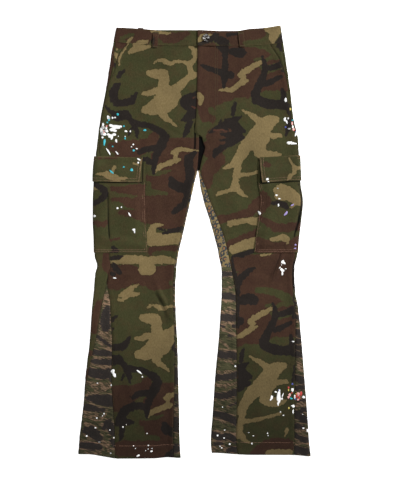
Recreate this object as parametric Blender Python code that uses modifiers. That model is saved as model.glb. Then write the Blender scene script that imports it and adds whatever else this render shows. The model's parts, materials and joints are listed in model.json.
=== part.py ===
"""Flared camouflage cargo trousers, buttoned and laid flat on their back.

+X runs to the wearer's left leg, +Y from the hems to the waistband and +Z up through the
layers. Lengths are millimetres until a mesh is made. "up" is the height above the lowest
hem along the laid cloth, and "run" is a distance round a leg from the outermost point of
its outer fold: negative over the top, positive underneath.
"""

import math

import bmesh
import bpy
import numpy as np

MM = 0.001

LENGTH = 1055.0  # lowest hem to the highest corner of the waistband
WAIST = 1008.0  # height of the waistband's seam at the fly
BAND_TOP = 1044.0  # height of the waistband's edge at the fly
CROTCH = 702.0  # below this the legs are apart
FLY_END = 785.0  # the fly's lap ends here, above a dark gap between the inseams
OUTER_FLARE_TOP = {"right": 426.0, "left": 415.0}
INNER_FLARE_TOP = 467.0  # the thigh insert above it is another cloth
FACING_END = 922.0  # lower end of the slanted hip pocket's mouth
HEM_REACH = 150.0  # above this the rows no longer follow the hem's curve
SEAT_START = 740.0  # and below this they don't follow the waist seam's

CLOTH = 1.2
BAND_CLOTH = 2.4
FLAP_CLOTH = 2.0
LOOP_CLOTH = 1.4
SEAM_GAP = 0.3
LAID_GAP = 0.7  # between a panel and what is sewn flat on it
BODY_SPACING = 2.7  # between the middles of the back and front layers
BAND_SPACING = 3.4
LAP_WIDTH = 13.0  # the right front carries on this far under the fly
BAND_LAP = 34.0
LAP_RAMP = 16.0

OUTER_BULGE = 3.2  # a soft fold stands this much higher than the flat cloth
INNER_BULGE = 2.2
BAND_BULGE = 1.6
BULGE_REACH = 30.0
RAMP = 14.0  # the back climbs over what is under it within this length
FRONT_RAMP = 55.0
BEYOND = 2000.0  # past every edge
ACROSS_BODY = 80.0  # above the crotch a leg's layers run on to here
LOOP_START = WAIST - 26.0  # the back climbs over the belt loops above this

POCKET_TOP, POCKET_BOTTOM = 724.0, 502.0
FLAP_TOP, FLAP_BOTTOM = 734.0, 673.0
POCKET_REACH = {"right": (125.0, 57.0), "left": (101.0, 86.0)}  # over, under the fold
FLAP_REACH = {"right": (116.0, 52.0), "left": (97.0, 80.0)}
POCKET_BULGE = 4.5
POCKET_SLOPE = 26.0  # its cloth rises to that within this length of its edges
FLAP_TILT = {"right": 2.0, "left": 4.5}  # rise of the flap's outer end

LOOP_WIDTH = 13.0
BUTTON_RADIUS, BUTTON_HEIGHT = 8.5, 3.4
BUTTON_X, BUTTON_UP = 28.0, 1026.0

ROW_STEP = 33.0
EXTRA_ROWS = (12, 113, 128, 143, 158, 173, 403, 415, 426, 467, 482, 498, 655, 669)
EXTRA_ROWS += (698, 706, 740, 754, 770, 785, 795, 922)

SIGN = {"right": -1.0, "left": 1.0}  # the wearer's right leg is at -X


class Table:
    """Rows with named columns, read as smooth curves over the first one."""

    def __init__(self, columns, *rows):
        self.columns = columns.split()
        self.rows = np.array(sorted(rows), float)

    def read(self, name, where):
        x, y = self.rows[:, 0], self.rows[:, self.columns.index(name)]
        rise = np.diff(y) / np.diff(x)
        slope = np.concatenate([rise[:1], np.zeros(len(x) - 2), rise[-1:]])
        same_way = rise[:-1] * rise[1:] > 0
        total = np.where(same_way, rise[:-1] + rise[1:], 1.0)
        slope[1:-1] = np.where(same_way, 2 * rise[:-1] * rise[1:] / total, 0.0)
        where = np.clip(np.asarray(where, float), x[0], x[-1])
        i = np.clip(np.searchsorted(x, where) - 1, 0, len(x) - 2)
        step = x[i + 1] - x[i]
        t = (where - x[i]) / step
        ends = (1 + 2 * t) * (1 - t) ** 2 * y[i] + t * t * (3 - 2 * t) * y[i + 1]
        return ends + step * t * (1 - t) * ((1 - t) * slope[i] - t * slope[i + 1])


# The laid outline, as X of each leg's folds. The inner ones end at the crotch.
OUTER_FOLD = Table(
    "up right left",
    (0, -282, 282),
    (26, -281, 279.5),
    (114, -272, 274),
    (201, -265, 267),
    (289, -255, 260),
    (363, -250, 252),
    (406, -245.5, 245),
    (450, -242, 242.5),
    (470, -237, 243),
    (494, -243, 249),
    (538, -244, 253),
    (582, -246, 258),
    (626, -246, 262),
    (670, -244, 256),
    (702, -243, 254),
    (772, -236, 252),
    (831, -228.5, 240),
    (875, -219.5, 235),
    (919, -211, 229),
    (963, -204, 222.5),
    (1008, -196.5, 215.5),
    (1050, -189, 208),
)
INNER_FOLD = Table(
    "up right left",
    (0, -34, 42),
    (26, -36, 40),
    (114, -38, 45),
    (201, -40.5, 51),
    (289, -43, 59.5),
    (363, -47, 64.5),
    (406, -48, 67),
    (450, -46, 67),
    (494, -41, 60),
    (538, -31, 50),
    (582, -21, 37.6),
    (626, -11, 23),
    (670, -1.5, 14),
    (702, 5.5, 12),
)

# Where the panels' edges lie, as lengths round the cloth from the nearer fold's outermost
# point: positive on top, negative underneath. Front and back meet where they are equal.
SEAMS = {
    "right": Table(
        "up outer_front outer_back inner_front inner_back",
        (0, 90, -10, 18, -65),
        (55, 85, -7, 16, -62),
        (113, 76, -3, 14, -59),
        (172, 67, 2.5, 11, -54),
        (260, 58.5, 12, 7.5, -47),
        (326, 51, 19.5, 6.5, -42),
        (382, 44, 25, 6, -36),
        (426, 33, 31, 6.5, -31),
        (467, 34, 34, 6, -26),
        (523, 38, 38, 4.6, -23),
        (582, 32, 32, 4.4, -22),
        (658, 23, 23, 4.4, -14),
        (702, 17, 17, 4.4, -5.5),
        (731, 12, 12, 4.4, -5.5),
        (772, 7, 7, 4.4, -5.5),
        (830, 3.5, 3.5, 4.4, -5.5),
        (885, 3.5, 3.5, 4.4, -5.5),
        (911, 5, 5, 4.4, -5.5),
        (935, 14, 8, 4.4, -5.5),
        (955, 16.5, 8, 4.4, -5.5),
        (975, 17.5, 7, 4.4, -5.5),
        (990, 24, 6, 4.4, -5.5),
        (1008, 35, 5, 4.4, -5.5),
    ),
    "left": Table(
        "up outer_front outer_back inner_front inner_back",
        (0, 40.5, -59.5, 64, -19),
        (55, 35.5, -54, 62, -17),
        (113, 32, -46, 59, -14),
        (201, 24, -36, 53.5, -9.5),
        (289, 16, -24, 44, -8),
        (335, 11, -19, 40, -7),
        (382, 7, -8, 36.5, -6.5),
        (415, 6, 4, 33, -6.5),
        (467, 6, 6, 25, -6),
        (538, 6, 6, 23.5, -5.5),
        (582, 6, 6, 20.5, -5.5),
        (660, 6, 6, 13, -5.5),
        (690, 6, 6, 5, -5.5),
        (702, 6, 6, 4.4, -5.5),
        (885, 6, 6, 4.4, -5.5),
        (911, 6, 6, 4.4, -5.5),
        (935, 9, 6, 4.4, -5.5),
        (950, 12, 6, 4.4, -5.5),
        (972, 18, 6, 4.4, -5.5),
        (990, 26, 6, 4.4, -5.5),
        (1008, 34, 6, 4.4, -5.5),
    ),
}

# X of the front panels' edges at the fly and beside the gap under it, and of the back seam.
CENTRE = Table(
    "up fly right_edge left_edge back_seam",
    (702, 4, 5.5, 12, 9),
    (711, 4, 7, 14, 9),
    (734, 4, 9, 19, 8.5),
    (759, 3, 10.5, 25.5, 8),
    (770, 2, 10.7, 21.5, 8),
    (785, 0, 10.7, 17.5, 7),
    (795, 0, 12.5, 0, 6),
    (826, 3, 16, 3, 5),
    (875, 5.5, 18.5, 5.5, 5),
    (1008, 8, 21, 8, 5),
)

# The hems, the waistband's seam and its top edge, as heights along X.
HEM = Table(
    "x up",
    (-282, 11.5),
    (-255, 10.5),
    (-220, 5),
    (-185, 0),
    (-100, 0.7),
    (-65, 3.5),
    (-34, 2),
    (42, 14.5),
    (100, 11),
    (140, 9),
    (235, 9),
    (280, 6),
)
WAIST_SEAM = Table("x up", (-197, 1017), (-120, 1009), (0, 1007), (120, 1007), (215, 1013))
WAIST_EDGE = Table(
    "x up",
    (-190, 1050),
    (-160, 1049),
    (-130, 1047),
    (-85, 1044),
    (0, 1044),
    (60, 1042),
    (100, 1042),
    (135, 1047),
    (165, 1049),
    (207, 1055),
)

# Creases of the front layer: both ends, the rise and the half width.
CREASES = (
    # x0, up0, x1, up1, rise, half_width
    (-112, 428, -62, 372, 2.2, 11),
    (-75, 366, -48, 330, 1.8, 9),
    (-196, 474, -110, 484, 1.8, 12),
    (-198, 450, -140, 446, 1.4, 12),
    (214, 494, 186, 424, 2.6, 12),
    (110, 446, 205, 430, 1.3, 14),
    (70, 372, 130, 330, 1.3, 14),
    (28, 768, 76, 806, 2.6, 11),
    (22, 744, 88, 770, 1.8, 13),
    (-4, 762, -82, 800, 1.6, 13),
    (-12, 728, -96, 742, 1.4, 14),
    (-60, 950, -20, 860, 1.0, 16),
    (96, 962, 74, 880, 1.0, 16),
    (-180, 250, -120, 60, 1.4, 22),
    (-96, 230, -84, 40, 1.2, 18),
    (150, 260, 168, 60, 1.5, 22),
)

COLOURS = {
    "camouflage": (0.075, 0.085, 0.038, 0.85),
    "tiger_stripe": (0.085, 0.078, 0.060, 0.85),
    "leopard": (0.290, 0.185, 0.085, 0.85),
    "metal": (0.55, 0.54, 0.52, 0.35),
}


def smooth(t):
    """0 below 0, 1 above 1, and soft between them."""
    t = np.clip(t, 0.0, 1.0)
    return t * t * (3 - 2 * t)


def within(value, low, high, ramp):
    """1 from low to high, falling softly to 0 within the ramp outside them."""
    return smooth((value - low) / ramp + 1) * smooth((high - value) / ramp + 1)


def lengthwise(x, up):
    """Y of a height, where hems, waist seam and waistband edge have their own curves."""
    seam, edge = WAIST_SEAM.read("up", x), WAIST_EDGE.read("up", x)
    body = up + (seam - WAIST) * smooth((up - SEAT_START) / (WAIST - SEAT_START))
    body = body + HEM.read("up", x) * smooth(1 - up / HEM_REACH)
    band = seam + (edge - seam) * (up - WAIST) / (BAND_TOP - WAIST)
    return np.where(up > WAIST, band, body) - LENGTH / 2


def crease_rise(x, up):
    rise = np.zeros(np.broadcast(x, up).shape)
    for x0, up0, x1, up1, height, half_width in CREASES:
        length = math.hypot(x1 - x0, up1 - up0)
        along = ((x - x0) * (x1 - x0) + (up - up0) * (up1 - up0)) / length
        across = ((up - up0) * (x1 - x0) - (x - x0) * (up1 - up0)) / length
        ends = smooth(along / (0.35 * length)) * smooth((length - along) / (0.35 * length))
        rise = rise + height * ends * smooth(1 - np.abs(across) / half_width)
    return rise


class Layer:
    """A leg's two layers of cloth, with a soft fold at each side below the crotch."""

    def __init__(self, side, cloth, spacing, bulge):
        self.side = side
        self.cloth = cloth
        self.spacing = spacing
        self.bulge = bulge

    def folds(self, up):
        inner = INNER_FOLD.read(self.side, up)
        across_body = -SIGN[self.side] * ACROSS_BODY
        return OUTER_FOLD.read(self.side, up), np.where(up > CROTCH, across_body, inner)

    def bottom(self, x, up):
        """Middle of the back layer."""
        return self.cloth / 2 + self.lift(x, up, RAMP)

    def lift(self, x, up, ramp):
        """How far the cloth is raised by the pocket, flap and belt loops underneath."""
        inward = np.abs(x - self.folds(up)[0])
        near = within(inward, -BEYOND, POCKET_REACH[self.side][1] + 4, ramp)
        pocket = near * within(up, POCKET_BOTTOM - 4, FLAP_TOP + 6, ramp)
        flap = near * within(up, FLAP_BOTTOM - 4, FLAP_TOP + 6, ramp)
        loops = within(up, LOOP_START, BEYOND, ramp)
        laid = pocket * (CLOTH + LAID_GAP) + flap * (FLAP_CLOTH + LAID_GAP)
        return laid + loops * (LOOP_CLOTH + SEAM_GAP)

    def top(self, x, up):
        """Middle of the front layer: higher towards the folds and along its creases."""
        outer, inner = self.folds(up)
        to_outer = np.abs(x - outer)
        to_inner = np.abs(x - inner)
        rise = self.bulge * (1 - smooth((to_outer - 3) / BULGE_REACH))
        legs = smooth((CROTCH - up) / 40)
        rise = rise + INNER_BULGE * legs * (1 - smooth((to_inner - 3) / BULGE_REACH))
        level = self.cloth / 2 + self.lift(x, up, FRONT_RAMP) + self.spacing
        return level + rise + crease_rise(x, up)

    def sizes(self, up):
        """Each fold's X, half height and quarter arc, and the half perimeter."""
        outer, inner = self.folds(up)
        outer_half = (self.top(outer, up) - self.bottom(outer, up)) / 2
        inner_half = (self.top(inner, up) - self.bottom(inner, up)) / 2
        arc_gain = math.pi / 2 - 1
        half_perimeter = np.abs(outer - inner) + arc_gain * (outer_half + inner_half)
        return outer, inner, outer_half, inner_half, half_perimeter

    def round_leg(self, run, up):
        """Points round the leg: over the top for a negative run, underneath for a positive one."""
        outer, inner, outer_half, inner_half, half_perimeter = self.sizes(up)
        sign = SIGN[self.side]
        past = np.abs(run) > half_perimeter  # round the inner fold, on the other layer
        distance = np.where(past, 2 * half_perimeter - np.abs(run), np.abs(run))
        over = (run < 0) != past
        outer_angle = np.minimum(distance / outer_half, math.pi / 2)
        to_end = half_perimeter - distance
        inner_angle = np.minimum(to_end / inner_half, math.pi / 2)
        flat_x = outer - sign * (outer_half + distance - outer_half * math.pi / 2)
        at_outer = distance < outer_half * math.pi / 2
        at_inner = (to_end < inner_half * math.pi / 2) & ~at_outer
        x = np.where(at_outer, outer - sign * outer_half * (1 - np.cos(outer_angle)), flat_x)
        x = np.where(at_inner, inner + sign * inner_half * (1 - np.cos(inner_angle)), x)
        top, bottom = self.top(x, up), self.bottom(x, up)
        level = np.where(over, top, bottom)
        swing = np.where(at_outer, np.sin(outer_angle), np.sin(inner_angle))
        half = (top - bottom) / 2
        turned = (top + bottom) / 2 + np.where(over, 1, -1) * half * swing
        z = np.where(at_outer | at_inner, turned, level)
        return np.stack([x, lengthwise(x, up), z], axis=-1)

    def run_to_x(self, x, up):
        """The length round the cloth from the outer fold to this X on a flat stretch."""
        outer, _, outer_half, _, _ = self.sizes(up)
        return np.abs(x - outer) + (math.pi / 2 - 1) * outer_half

    def laid_over(self, run, up, height):
        """Points this far outside the leg's surface."""
        step = 1.0
        across = self.round_leg(run + step, up) - self.round_leg(run - step, up)
        along = self.round_leg(run, up + step) - self.round_leg(run, up - step)
        normal = np.cross(across, along) * SIGN[self.side]
        normal = normal / np.linalg.norm(normal, axis=-1, keepdims=True)
        return self.round_leg(run, up) + normal * np.asarray(height)[..., None]


BODY = {side: Layer(side, CLOTH, BODY_SPACING, OUTER_BULGE) for side in SIGN}
BAND = {side: Layer(side, BAND_CLOTH, BAND_SPACING, BAND_BULGE) for side in SIGN}


def rows_between(low, high):
    """Heights shared by every panel, so that neighbours' edges match."""
    shared = np.arange(0.0, LENGTH, ROW_STEP)
    far = [row for row in shared if min(abs(row - extra) for extra in EXTRA_ROWS) > 8]
    inside = [row for row in sorted(far + list(EXTRA_ROWS)) if low + 5 < row < high - 5]
    return np.array([low, *inside, high])


def spread(start, end, shares):
    """Columns between two edges that change with the height, as a row for each height."""
    shares = np.asarray(shares)
    return start[:, None] + (end - start)[:, None] * shares[None, :]


def over_fold(start, end, arc):
    """Columns across a fold, clear of the panel's own edges where those lie on it."""
    k = np.arange(5)
    least = np.minimum(0.8, (end - start) / 7)[:, None]
    columns = arc[:, None] * (k - 2) / 2
    columns = np.minimum(columns, end[:, None] - least * (5 - k))
    return np.maximum(columns, start[:, None] + least * (k + 1))


def clear_scene():
    for obj in list(bpy.data.objects):
        bpy.data.objects.remove(obj, do_unlink=True)


def material(name):
    red, green, blue, roughness = COLOURS[name]
    made = bpy.data.materials.get(name) or bpy.data.materials.new(name)
    made.use_nodes = True
    shader = made.node_tree.nodes["Principled BSDF"]
    shader.inputs["Base Color"].default_value = (red, green, blue, 1)
    shader.inputs["Roughness"].default_value = roughness
    shader.inputs["Metallic"].default_value = 1.0 if name == "metal" else 0.0
    return made


def add_object(name, mesh, finish, collection):
    mesh.materials.append(material(finish))
    obj = bpy.data.objects.new(name, mesh)
    collection.objects.link(obj)
    return obj


def cloth(name, points, thickness, finish, collection):
    """A wall of cloth on a grid of points: rows by columns by XYZ, in millimetres."""
    rows, columns = points.shape[:2]
    sheet = bmesh.new()
    bmesh.ops.create_grid(sheet, x_segments=columns - 1, y_segments=rows - 1, size=1)
    for vertex, place in zip(sheet.verts, points.reshape(-1, 3)):
        vertex.co = place * MM
    mesh = bpy.data.meshes.new(name)
    sheet.to_mesh(mesh)
    sheet.free()
    mesh.shade_smooth()
    obj = add_object(name, mesh, finish, collection)
    wall = obj.modifiers.new("Wall", "SOLIDIFY")
    wall.thickness = thickness * MM
    wall.offset = 0
    return obj


def front_edges(side, up):
    """Runs of a front panel's edges, from the outseam to the fly or the inseam."""
    layer, seams = BODY[side], SEAMS[side]
    outer_edge = -(seams.read("outer_front", up) + SEAM_GAP / 2)
    half_perimeter = layer.sizes(up)[4]
    inseam = -(half_perimeter - seams.read("inner_front", up) - SEAM_GAP / 2)
    centre = -layer.run_to_x(CENTRE.read(side + "_edge", up), up)
    return outer_edge, np.where(up > CROTCH, centre, inseam)


def front(side, collection):
    """A front panel, waist to hem. The left one laps over the right at the fly."""
    up = rows_between(0.0, WAIST - SEAM_GAP / 2)
    shares = (0, 0.008, 0.03, 0.09, 0.19, 0.31, 0.43, 0.55, 0.67, 0.79, 0.9, 0.965, 0.992, 1)
    runs = spread(*front_edges(side, up), shares)
    heights = np.broadcast_to(up[:, None], runs.shape)
    points = BODY[side].round_leg(runs, heights)
    if side == "left":
        points[..., 2] += fly_lift(points[..., 0], heights, CLOTH, LAP_WIDTH)
    return cloth(f"front_{side}", points, CLOTH, "camouflage", collection)


def fly_lift(x, up, thickness, lap):
    """How far the left side stands above the right one's edge, which runs under it."""
    past = (x - CENTRE.read("fly", up) - lap - 2) / LAP_RAMP
    return (thickness + 0.5) * (1 - smooth(past)) * smooth((up - FLY_END + 25) / 25)


def back(side, collection):
    """A back panel: up round the outer fold to its seam, and under to the back seam."""
    layer, seams = BODY[side], SEAMS[side]
    up = rows_between(0.0, WAIST - SEAM_GAP / 2)
    start = -(seams.read("outer_back", up) - SEAM_GAP / 2)
    outer_arc = layer.sizes(up)[2] * math.pi / 2
    inseam = layer.sizes(up)[4] + seams.read("inner_back", up) - SEAM_GAP / 2
    seam_x = CENTRE.read("back_seam", up) + SIGN[side] * SEAM_GAP / 2
    centre = layer.run_to_x(seam_x, up)
    end = np.where(up > CROTCH, centre, inseam)
    fold = over_fold(start, end, outer_arc)
    pocket_edge = np.maximum(POCKET_REACH[side][1] + 8, fold[:, -1] + 6)
    strip = spread(start, fold[:, 0], (0, 0.12, 0.5))
    beside = spread(fold[:, -1], pocket_edge, (0.4,))
    under = spread(pocket_edge, end, (0, 0.13, 0.4, 0.7, 0.94, 1))
    runs = np.hstack([strip, fold, beside, under])
    heights = np.broadcast_to(up[:, None], runs.shape)
    points = layer.round_leg(runs, heights)
    return cloth(f"back_{side}", points, CLOTH, "camouflage", collection)


def hip_facing(side, collection):
    """The pocket's facing, seen between its slanted mouth and the outseam."""
    seams = SEAMS[side]
    up = rows_between(FACING_END, WAIST - SEAM_GAP / 2)
    start = -(seams.read("outer_back", up) + SEAM_GAP / 2)
    end = -(seams.read("outer_front", up) - SEAM_GAP / 2)
    runs = spread(start, end, np.linspace(0, 1, 4))
    heights = np.broadcast_to(up[:, None], runs.shape)
    points = BODY[side].round_leg(runs, heights)
    return cloth(f"hip_facing_{side}", points, CLOTH, "camouflage", collection)


def outer_flare(side, collection):
    """The wedge let into the outseam below the knee."""
    layer, seams = BODY[side], SEAMS[side]
    up = rows_between(0.0, OUTER_FLARE_TOP[side])
    start = -(seams.read("outer_front", up) - SEAM_GAP / 2)
    end = -(seams.read("outer_back", up) + SEAM_GAP / 2)
    fold = over_fold(start, end, layer.sizes(up)[2] * math.pi / 2)
    before = spread(start, fold[:, 0], (0, 0.35, 0.7))
    after = spread(fold[:, -1], end, (0.5, 1))
    runs = np.hstack([before, fold, after])
    heights = np.broadcast_to(up[:, None], runs.shape)
    points = layer.round_leg(runs, heights)
    return cloth(f"outer_flare_{side}", points, CLOTH, "tiger_stripe", collection)


def inner_insert(name, side, low, high, finish, collection):
    """A length of the insert along the inseam, folded round the leg's inner edge."""
    layer, seams = BODY[side], SEAMS[side]
    up = rows_between(low, high)
    half_perimeter, inner_half = layer.sizes(up)[4], layer.sizes(up)[3]
    start = -(seams.read("inner_front", up) - SEAM_GAP / 2)
    end = -(seams.read("inner_back", up) + SEAM_GAP / 2)
    fold = over_fold(start, end, inner_half * math.pi / 2)
    before = spread(start, fold[:, 0], (0, 0.5))
    after = spread(fold[:, -1], end, (0.5, 1))
    runs = -half_perimeter[:, None] - np.hstack([before, fold, after])
    heights = np.broadcast_to(up[:, None], runs.shape)
    points = layer.round_leg(runs, heights)
    return cloth(f"{name}_{side}", points, CLOTH, finish, collection)


def waistband(side, collection):
    """Half the waistband, from the fly round the fold to the back seam."""
    layer = BAND[side]
    up = np.array([WAIST + 2 * SEAM_GAP, WAIST + 12, WAIST + 24, BAND_TOP])
    lap = BAND_LAP if side == "right" else 0.0
    start = -layer.run_to_x(CENTRE.read("fly", up) + lap, up)
    end = layer.run_to_x(CENTRE.read("back_seam", up) + SIGN[side] * SEAM_GAP / 2, up)
    arc = layer.sizes(up)[2] * math.pi / 2
    over = spread(start, -arc, (0, 0.09, 0.175, 0.21, 0.255, 0.4, 0.58, 0.78, 0.93))
    fold = spread(-arc, arc, (0, 0.2, 0.4, 0.6, 0.8))
    under = spread(arc, end, (0, 0.25, 0.5, 0.75, 1))
    runs = np.hstack([over, fold, under])
    heights = np.broadcast_to(up[:, None], runs.shape)
    points = layer.round_leg(runs, heights)
    if side == "left":
        points[..., 2] += fly_lift(points[..., 0], heights, BAND_CLOTH, BAND_LAP) * (runs < 0)
    return cloth(f"waistband_{side}", points, BAND_CLOTH, "camouflage", collection)


def pocket_height(over, up):
    """How far the pocket's middle stands off the leg: full on top, flat underneath."""
    flat = CLOTH + LAID_GAP
    reach = np.minimum(up - POCKET_BOTTOM, POCKET_TOP - up)
    return flat + POCKET_BULGE * smooth(reach / POCKET_SLOPE) * smooth(over / BULGE_REACH)


def cargo_pocket(side, collection):
    """The cargo pocket, sewn across the outseam and so folded round the leg's outer edge."""
    over, under = POCKET_REACH[side]
    up = np.array([502, 506, 516, 530, 560, 600, 630, 655, 669, 684, 700, 714, POCKET_TOP])
    front_edge = -over - 6 * (POCKET_TOP - up) / (POCKET_TOP - POCKET_BOTTOM)
    end = np.full_like(front_edge, under)
    fold = over_fold(front_edge, end, BODY[side].sizes(up)[2] * math.pi / 2)
    over_top = spread(front_edge, fold[:, 0], (0, 0.03, 0.1, 0.22, 0.45, 0.68, 0.85, 0.95))
    underneath = spread(fold[:, -1], end, (0.15, 1))
    runs = np.hstack([over_top, fold, underneath])
    heights = np.broadcast_to(up[:, None], runs.shape)
    from_edge = runs - front_edge[:, None]
    flat = CLOTH + LAID_GAP
    standing = flat + (pocket_height(-runs, heights) - flat) * smooth(from_edge / POCKET_SLOPE)
    points = BODY[side].laid_over(runs, heights, standing)
    return cloth(f"cargo_pocket_{side}", points, CLOTH, "camouflage", collection)


def cargo_flap(side, collection):
    """The flap over the pocket's mouth."""
    over, under = FLAP_REACH[side]
    share = np.linspace(0, 1, 6)
    lift = (CLOTH + FLAP_CLOTH) / 2 + LAID_GAP
    taper = 4.0 * (1 - share)
    front_edge = -over + taper
    level = FLAP_BOTTOM + (FLAP_TOP - FLAP_BOTTOM) * share
    end = np.full_like(front_edge, under)
    fold = over_fold(front_edge, end, BODY[side].sizes(level)[2] * math.pi / 2)
    over_top = spread(front_edge, fold[:, 0], (0, 0.06, 0.22, 0.45, 0.68, 0.85, 0.95))
    underneath = spread(fold[:, -1], end, (0.15, 1))
    runs = np.hstack([over_top, fold, underneath])
    tilt = FLAP_TILT[side] * smooth(1 + runs / over)
    heights = level[:, None] + tilt
    standing = pocket_height(-runs, np.minimum(heights, POCKET_TOP)) + lift
    points = BODY[side].laid_over(runs, heights, standing)
    return cloth(f"cargo_flap_{side}", points, FLAP_CLOTH, "camouflage", collection)


def belt_loop(name, side, run, low, high, lean, collection):
    """A belt loop on the waistband, low and high along it, arched where it is on top."""
    layer = BAND[side]
    share = np.linspace(0, 1, 7)
    up = low + (high - low) * share
    middle = run + lean * (share - 0.5)
    half_width = np.full_like(up, LOOP_WIDTH / 2)
    runs = spread(middle - half_width, middle + half_width, (0, 0.5, 1))
    heights = np.broadcast_to(up[:, None], runs.shape)
    arch = 2.0 * np.sin(math.pi * share)[:, None] * (runs < 0)
    standing = (BAND_CLOTH + LOOP_CLOTH) / 2 + SEAM_GAP + arch
    points = layer.laid_over(runs, heights, standing)
    return cloth(name, points, LOOP_CLOTH, "camouflage", collection)


def waist_button(collection):
    """A turned metal button with a raised rim and a dished face."""
    layer = BAND["left"]
    x, up = np.array([BUTTON_X]), np.array([BUTTON_UP])
    run = -layer.run_to_x(x, up)
    place = layer.round_leg(run, up)[0]
    place[2] += fly_lift(x, up, BAND_CLOTH, BAND_LAP)[0] + BAND_CLOTH / 2 + SEAM_GAP
    radius, height = BUTTON_RADIUS, BUTTON_HEIGHT
    profile = (
        (0, height - 0.9),
        (radius - 3.0, height - 0.9),
        (radius - 2.0, height),
        (radius - 0.8, height),
        (radius, height - 1.0),
        (radius - 0.6, height - 2.0),
        (radius - 3.5, 0.9),
        (radius - 4.0, 0),
        (0, 0),
    )
    mesh = bpy.data.meshes.new("waist_button")
    corners = [(across * MM, 0, tall * MM) for across, tall in profile]
    mesh.from_pydata(corners, [(i, i + 1) for i in range(len(corners) - 1)], [])
    obj = add_object("waist_button", mesh, "metal", collection)
    obj.location = place * MM
    turned = obj.modifiers.new("Turned", "SCREW")
    turned.steps = 16
    turned.render_steps = 16
    turned.use_merge_vertices = True
    turned.merge_threshold = 0.00001
    return obj


def build():
    clear_scene()
    trousers = bpy.data.collections.new("flared_trousers")
    bpy.context.scene.collection.children.link(trousers)
    for side in SIGN:
        front(side, trousers)
        back(side, trousers)
        hip_facing(side, trousers)
        waistband(side, trousers)
        outer_flare(side, trousers)
        low, high = INNER_FLARE_TOP + SEAM_GAP / 2, CROTCH - 4
        inner_insert("thigh_insert", side, low, high, "leopard", trousers)
        high = INNER_FLARE_TOP - SEAM_GAP / 2
        inner_insert("inner_flare", side, 0.0, high, "tiger_stripe", trousers)
        cargo_pocket(side, trousers)
        cargo_flap(side, trousers)
    belt_loop("loop_front_right", "right", -101, 1001, 1039, 4, trousers)
    belt_loop("loop_front_left", "left", -100, 1004, 1039, 2, trousers)
    belt_loop("loop_back_right", "right", 60, 1000, 1047, 0, trousers)
    belt_loop("loop_back_left", "left", 70, 1000, 1044, 0, trousers)
    belt_loop("loop_back_middle", "right", 192, 1000, 1044, 0, trousers)
    waist_button(trousers)


build()
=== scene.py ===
# %% [markdown]
# # Flared camouflage cargo trousers, laid flat
# The trousers lie on their back, buttoned, and are seen from straight above. Every panel of cloth
# is a thin shell on the form of the solid it stands for, with finer folds, and the print, the
# stitching and the spattered paint are added to it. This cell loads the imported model.

# %% Load the frame
import json
import math

import bpy
import numpy as np
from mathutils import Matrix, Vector
from mathutils.bvhtree import BVHTree

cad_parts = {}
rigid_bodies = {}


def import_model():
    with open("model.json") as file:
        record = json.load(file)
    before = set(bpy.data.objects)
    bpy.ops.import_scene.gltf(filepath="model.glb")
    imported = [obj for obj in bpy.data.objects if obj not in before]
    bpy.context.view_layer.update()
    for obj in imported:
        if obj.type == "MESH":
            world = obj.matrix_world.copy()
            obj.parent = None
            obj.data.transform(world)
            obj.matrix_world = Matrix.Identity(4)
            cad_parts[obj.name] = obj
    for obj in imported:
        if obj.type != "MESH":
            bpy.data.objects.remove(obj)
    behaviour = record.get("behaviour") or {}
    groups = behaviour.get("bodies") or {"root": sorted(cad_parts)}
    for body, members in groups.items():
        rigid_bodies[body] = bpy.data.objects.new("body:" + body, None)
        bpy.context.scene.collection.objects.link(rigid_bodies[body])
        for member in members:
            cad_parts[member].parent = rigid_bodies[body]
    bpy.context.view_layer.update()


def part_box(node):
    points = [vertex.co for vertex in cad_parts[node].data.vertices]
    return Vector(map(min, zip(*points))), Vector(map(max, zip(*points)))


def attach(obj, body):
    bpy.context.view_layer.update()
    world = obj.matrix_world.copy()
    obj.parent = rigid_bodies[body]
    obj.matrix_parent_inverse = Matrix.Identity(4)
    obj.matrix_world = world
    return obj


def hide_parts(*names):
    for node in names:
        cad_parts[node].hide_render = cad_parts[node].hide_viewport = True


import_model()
MM = 0.001

# %% [markdown]
# The camera hangs straight above, as the photographer's did. A long lens far away keeps the
# layers of cloth from leaning. The photograph's scale is 2.44 mm of garment to a pixel.

# %% Camera
PIXEL = 2.44  # mm
CENTRE_LINE, LOWEST_HEM = 194.6, 458.4  # in the photograph, across and down
FRAME_WIDE, FRAME_HIGH = 416, 485
LENS, SENSOR = 100.0, 36.0
LENGTH = 1055.0

view_x = (FRAME_WIDE / 2 - CENTRE_LINE) * PIXEL * MM
view_y = ((LOWEST_HEM - FRAME_HIGH / 2) * PIXEL - LENGTH / 2) * MM
view_height = FRAME_HIGH * PIXEL * MM * LENS / SENSOR
bpy.ops.object.camera_add(location=(view_x, view_y, view_height), rotation=(0, 0, 0))
camera = bpy.context.object
camera.data.lens = LENS
camera.data.sensor_width = SENSOR
bpy.context.scene.camera = camera
print("camera at", [round(v, 3) for v in camera.location])

# %% [markdown]
# A pale light table and soft light. A far panel stands to the wearer's left, so laps and flaps
# throw a soft shadow to the other side. A near one hangs overhead and fills the shade.
# The table glows a little, as such tables do, which keeps it white under a modest light.

# %% Floor and light
TABLE_SIZE, TABLE_Z = 12, -0.0006  # metres; it lies just under the cloth

bpy.ops.mesh.primitive_plane_add(size=TABLE_SIZE, location=(0, 0, TABLE_Z))
floor = bpy.context.object
floor.name = "floor"
table = bpy.data.materials.new("light_table")
table.use_nodes = True
for socket, value in {
    "Base Color": (0.93, 0.93, 0.93, 1), "Roughness": 0.9,
    "Emission Color": (1, 1, 1, 1), "Emission Strength": 0.95,
}.items():
    table.node_tree.nodes["Principled BSDF"].inputs[socket].default_value = value
floor.data.materials.append(table)


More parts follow.
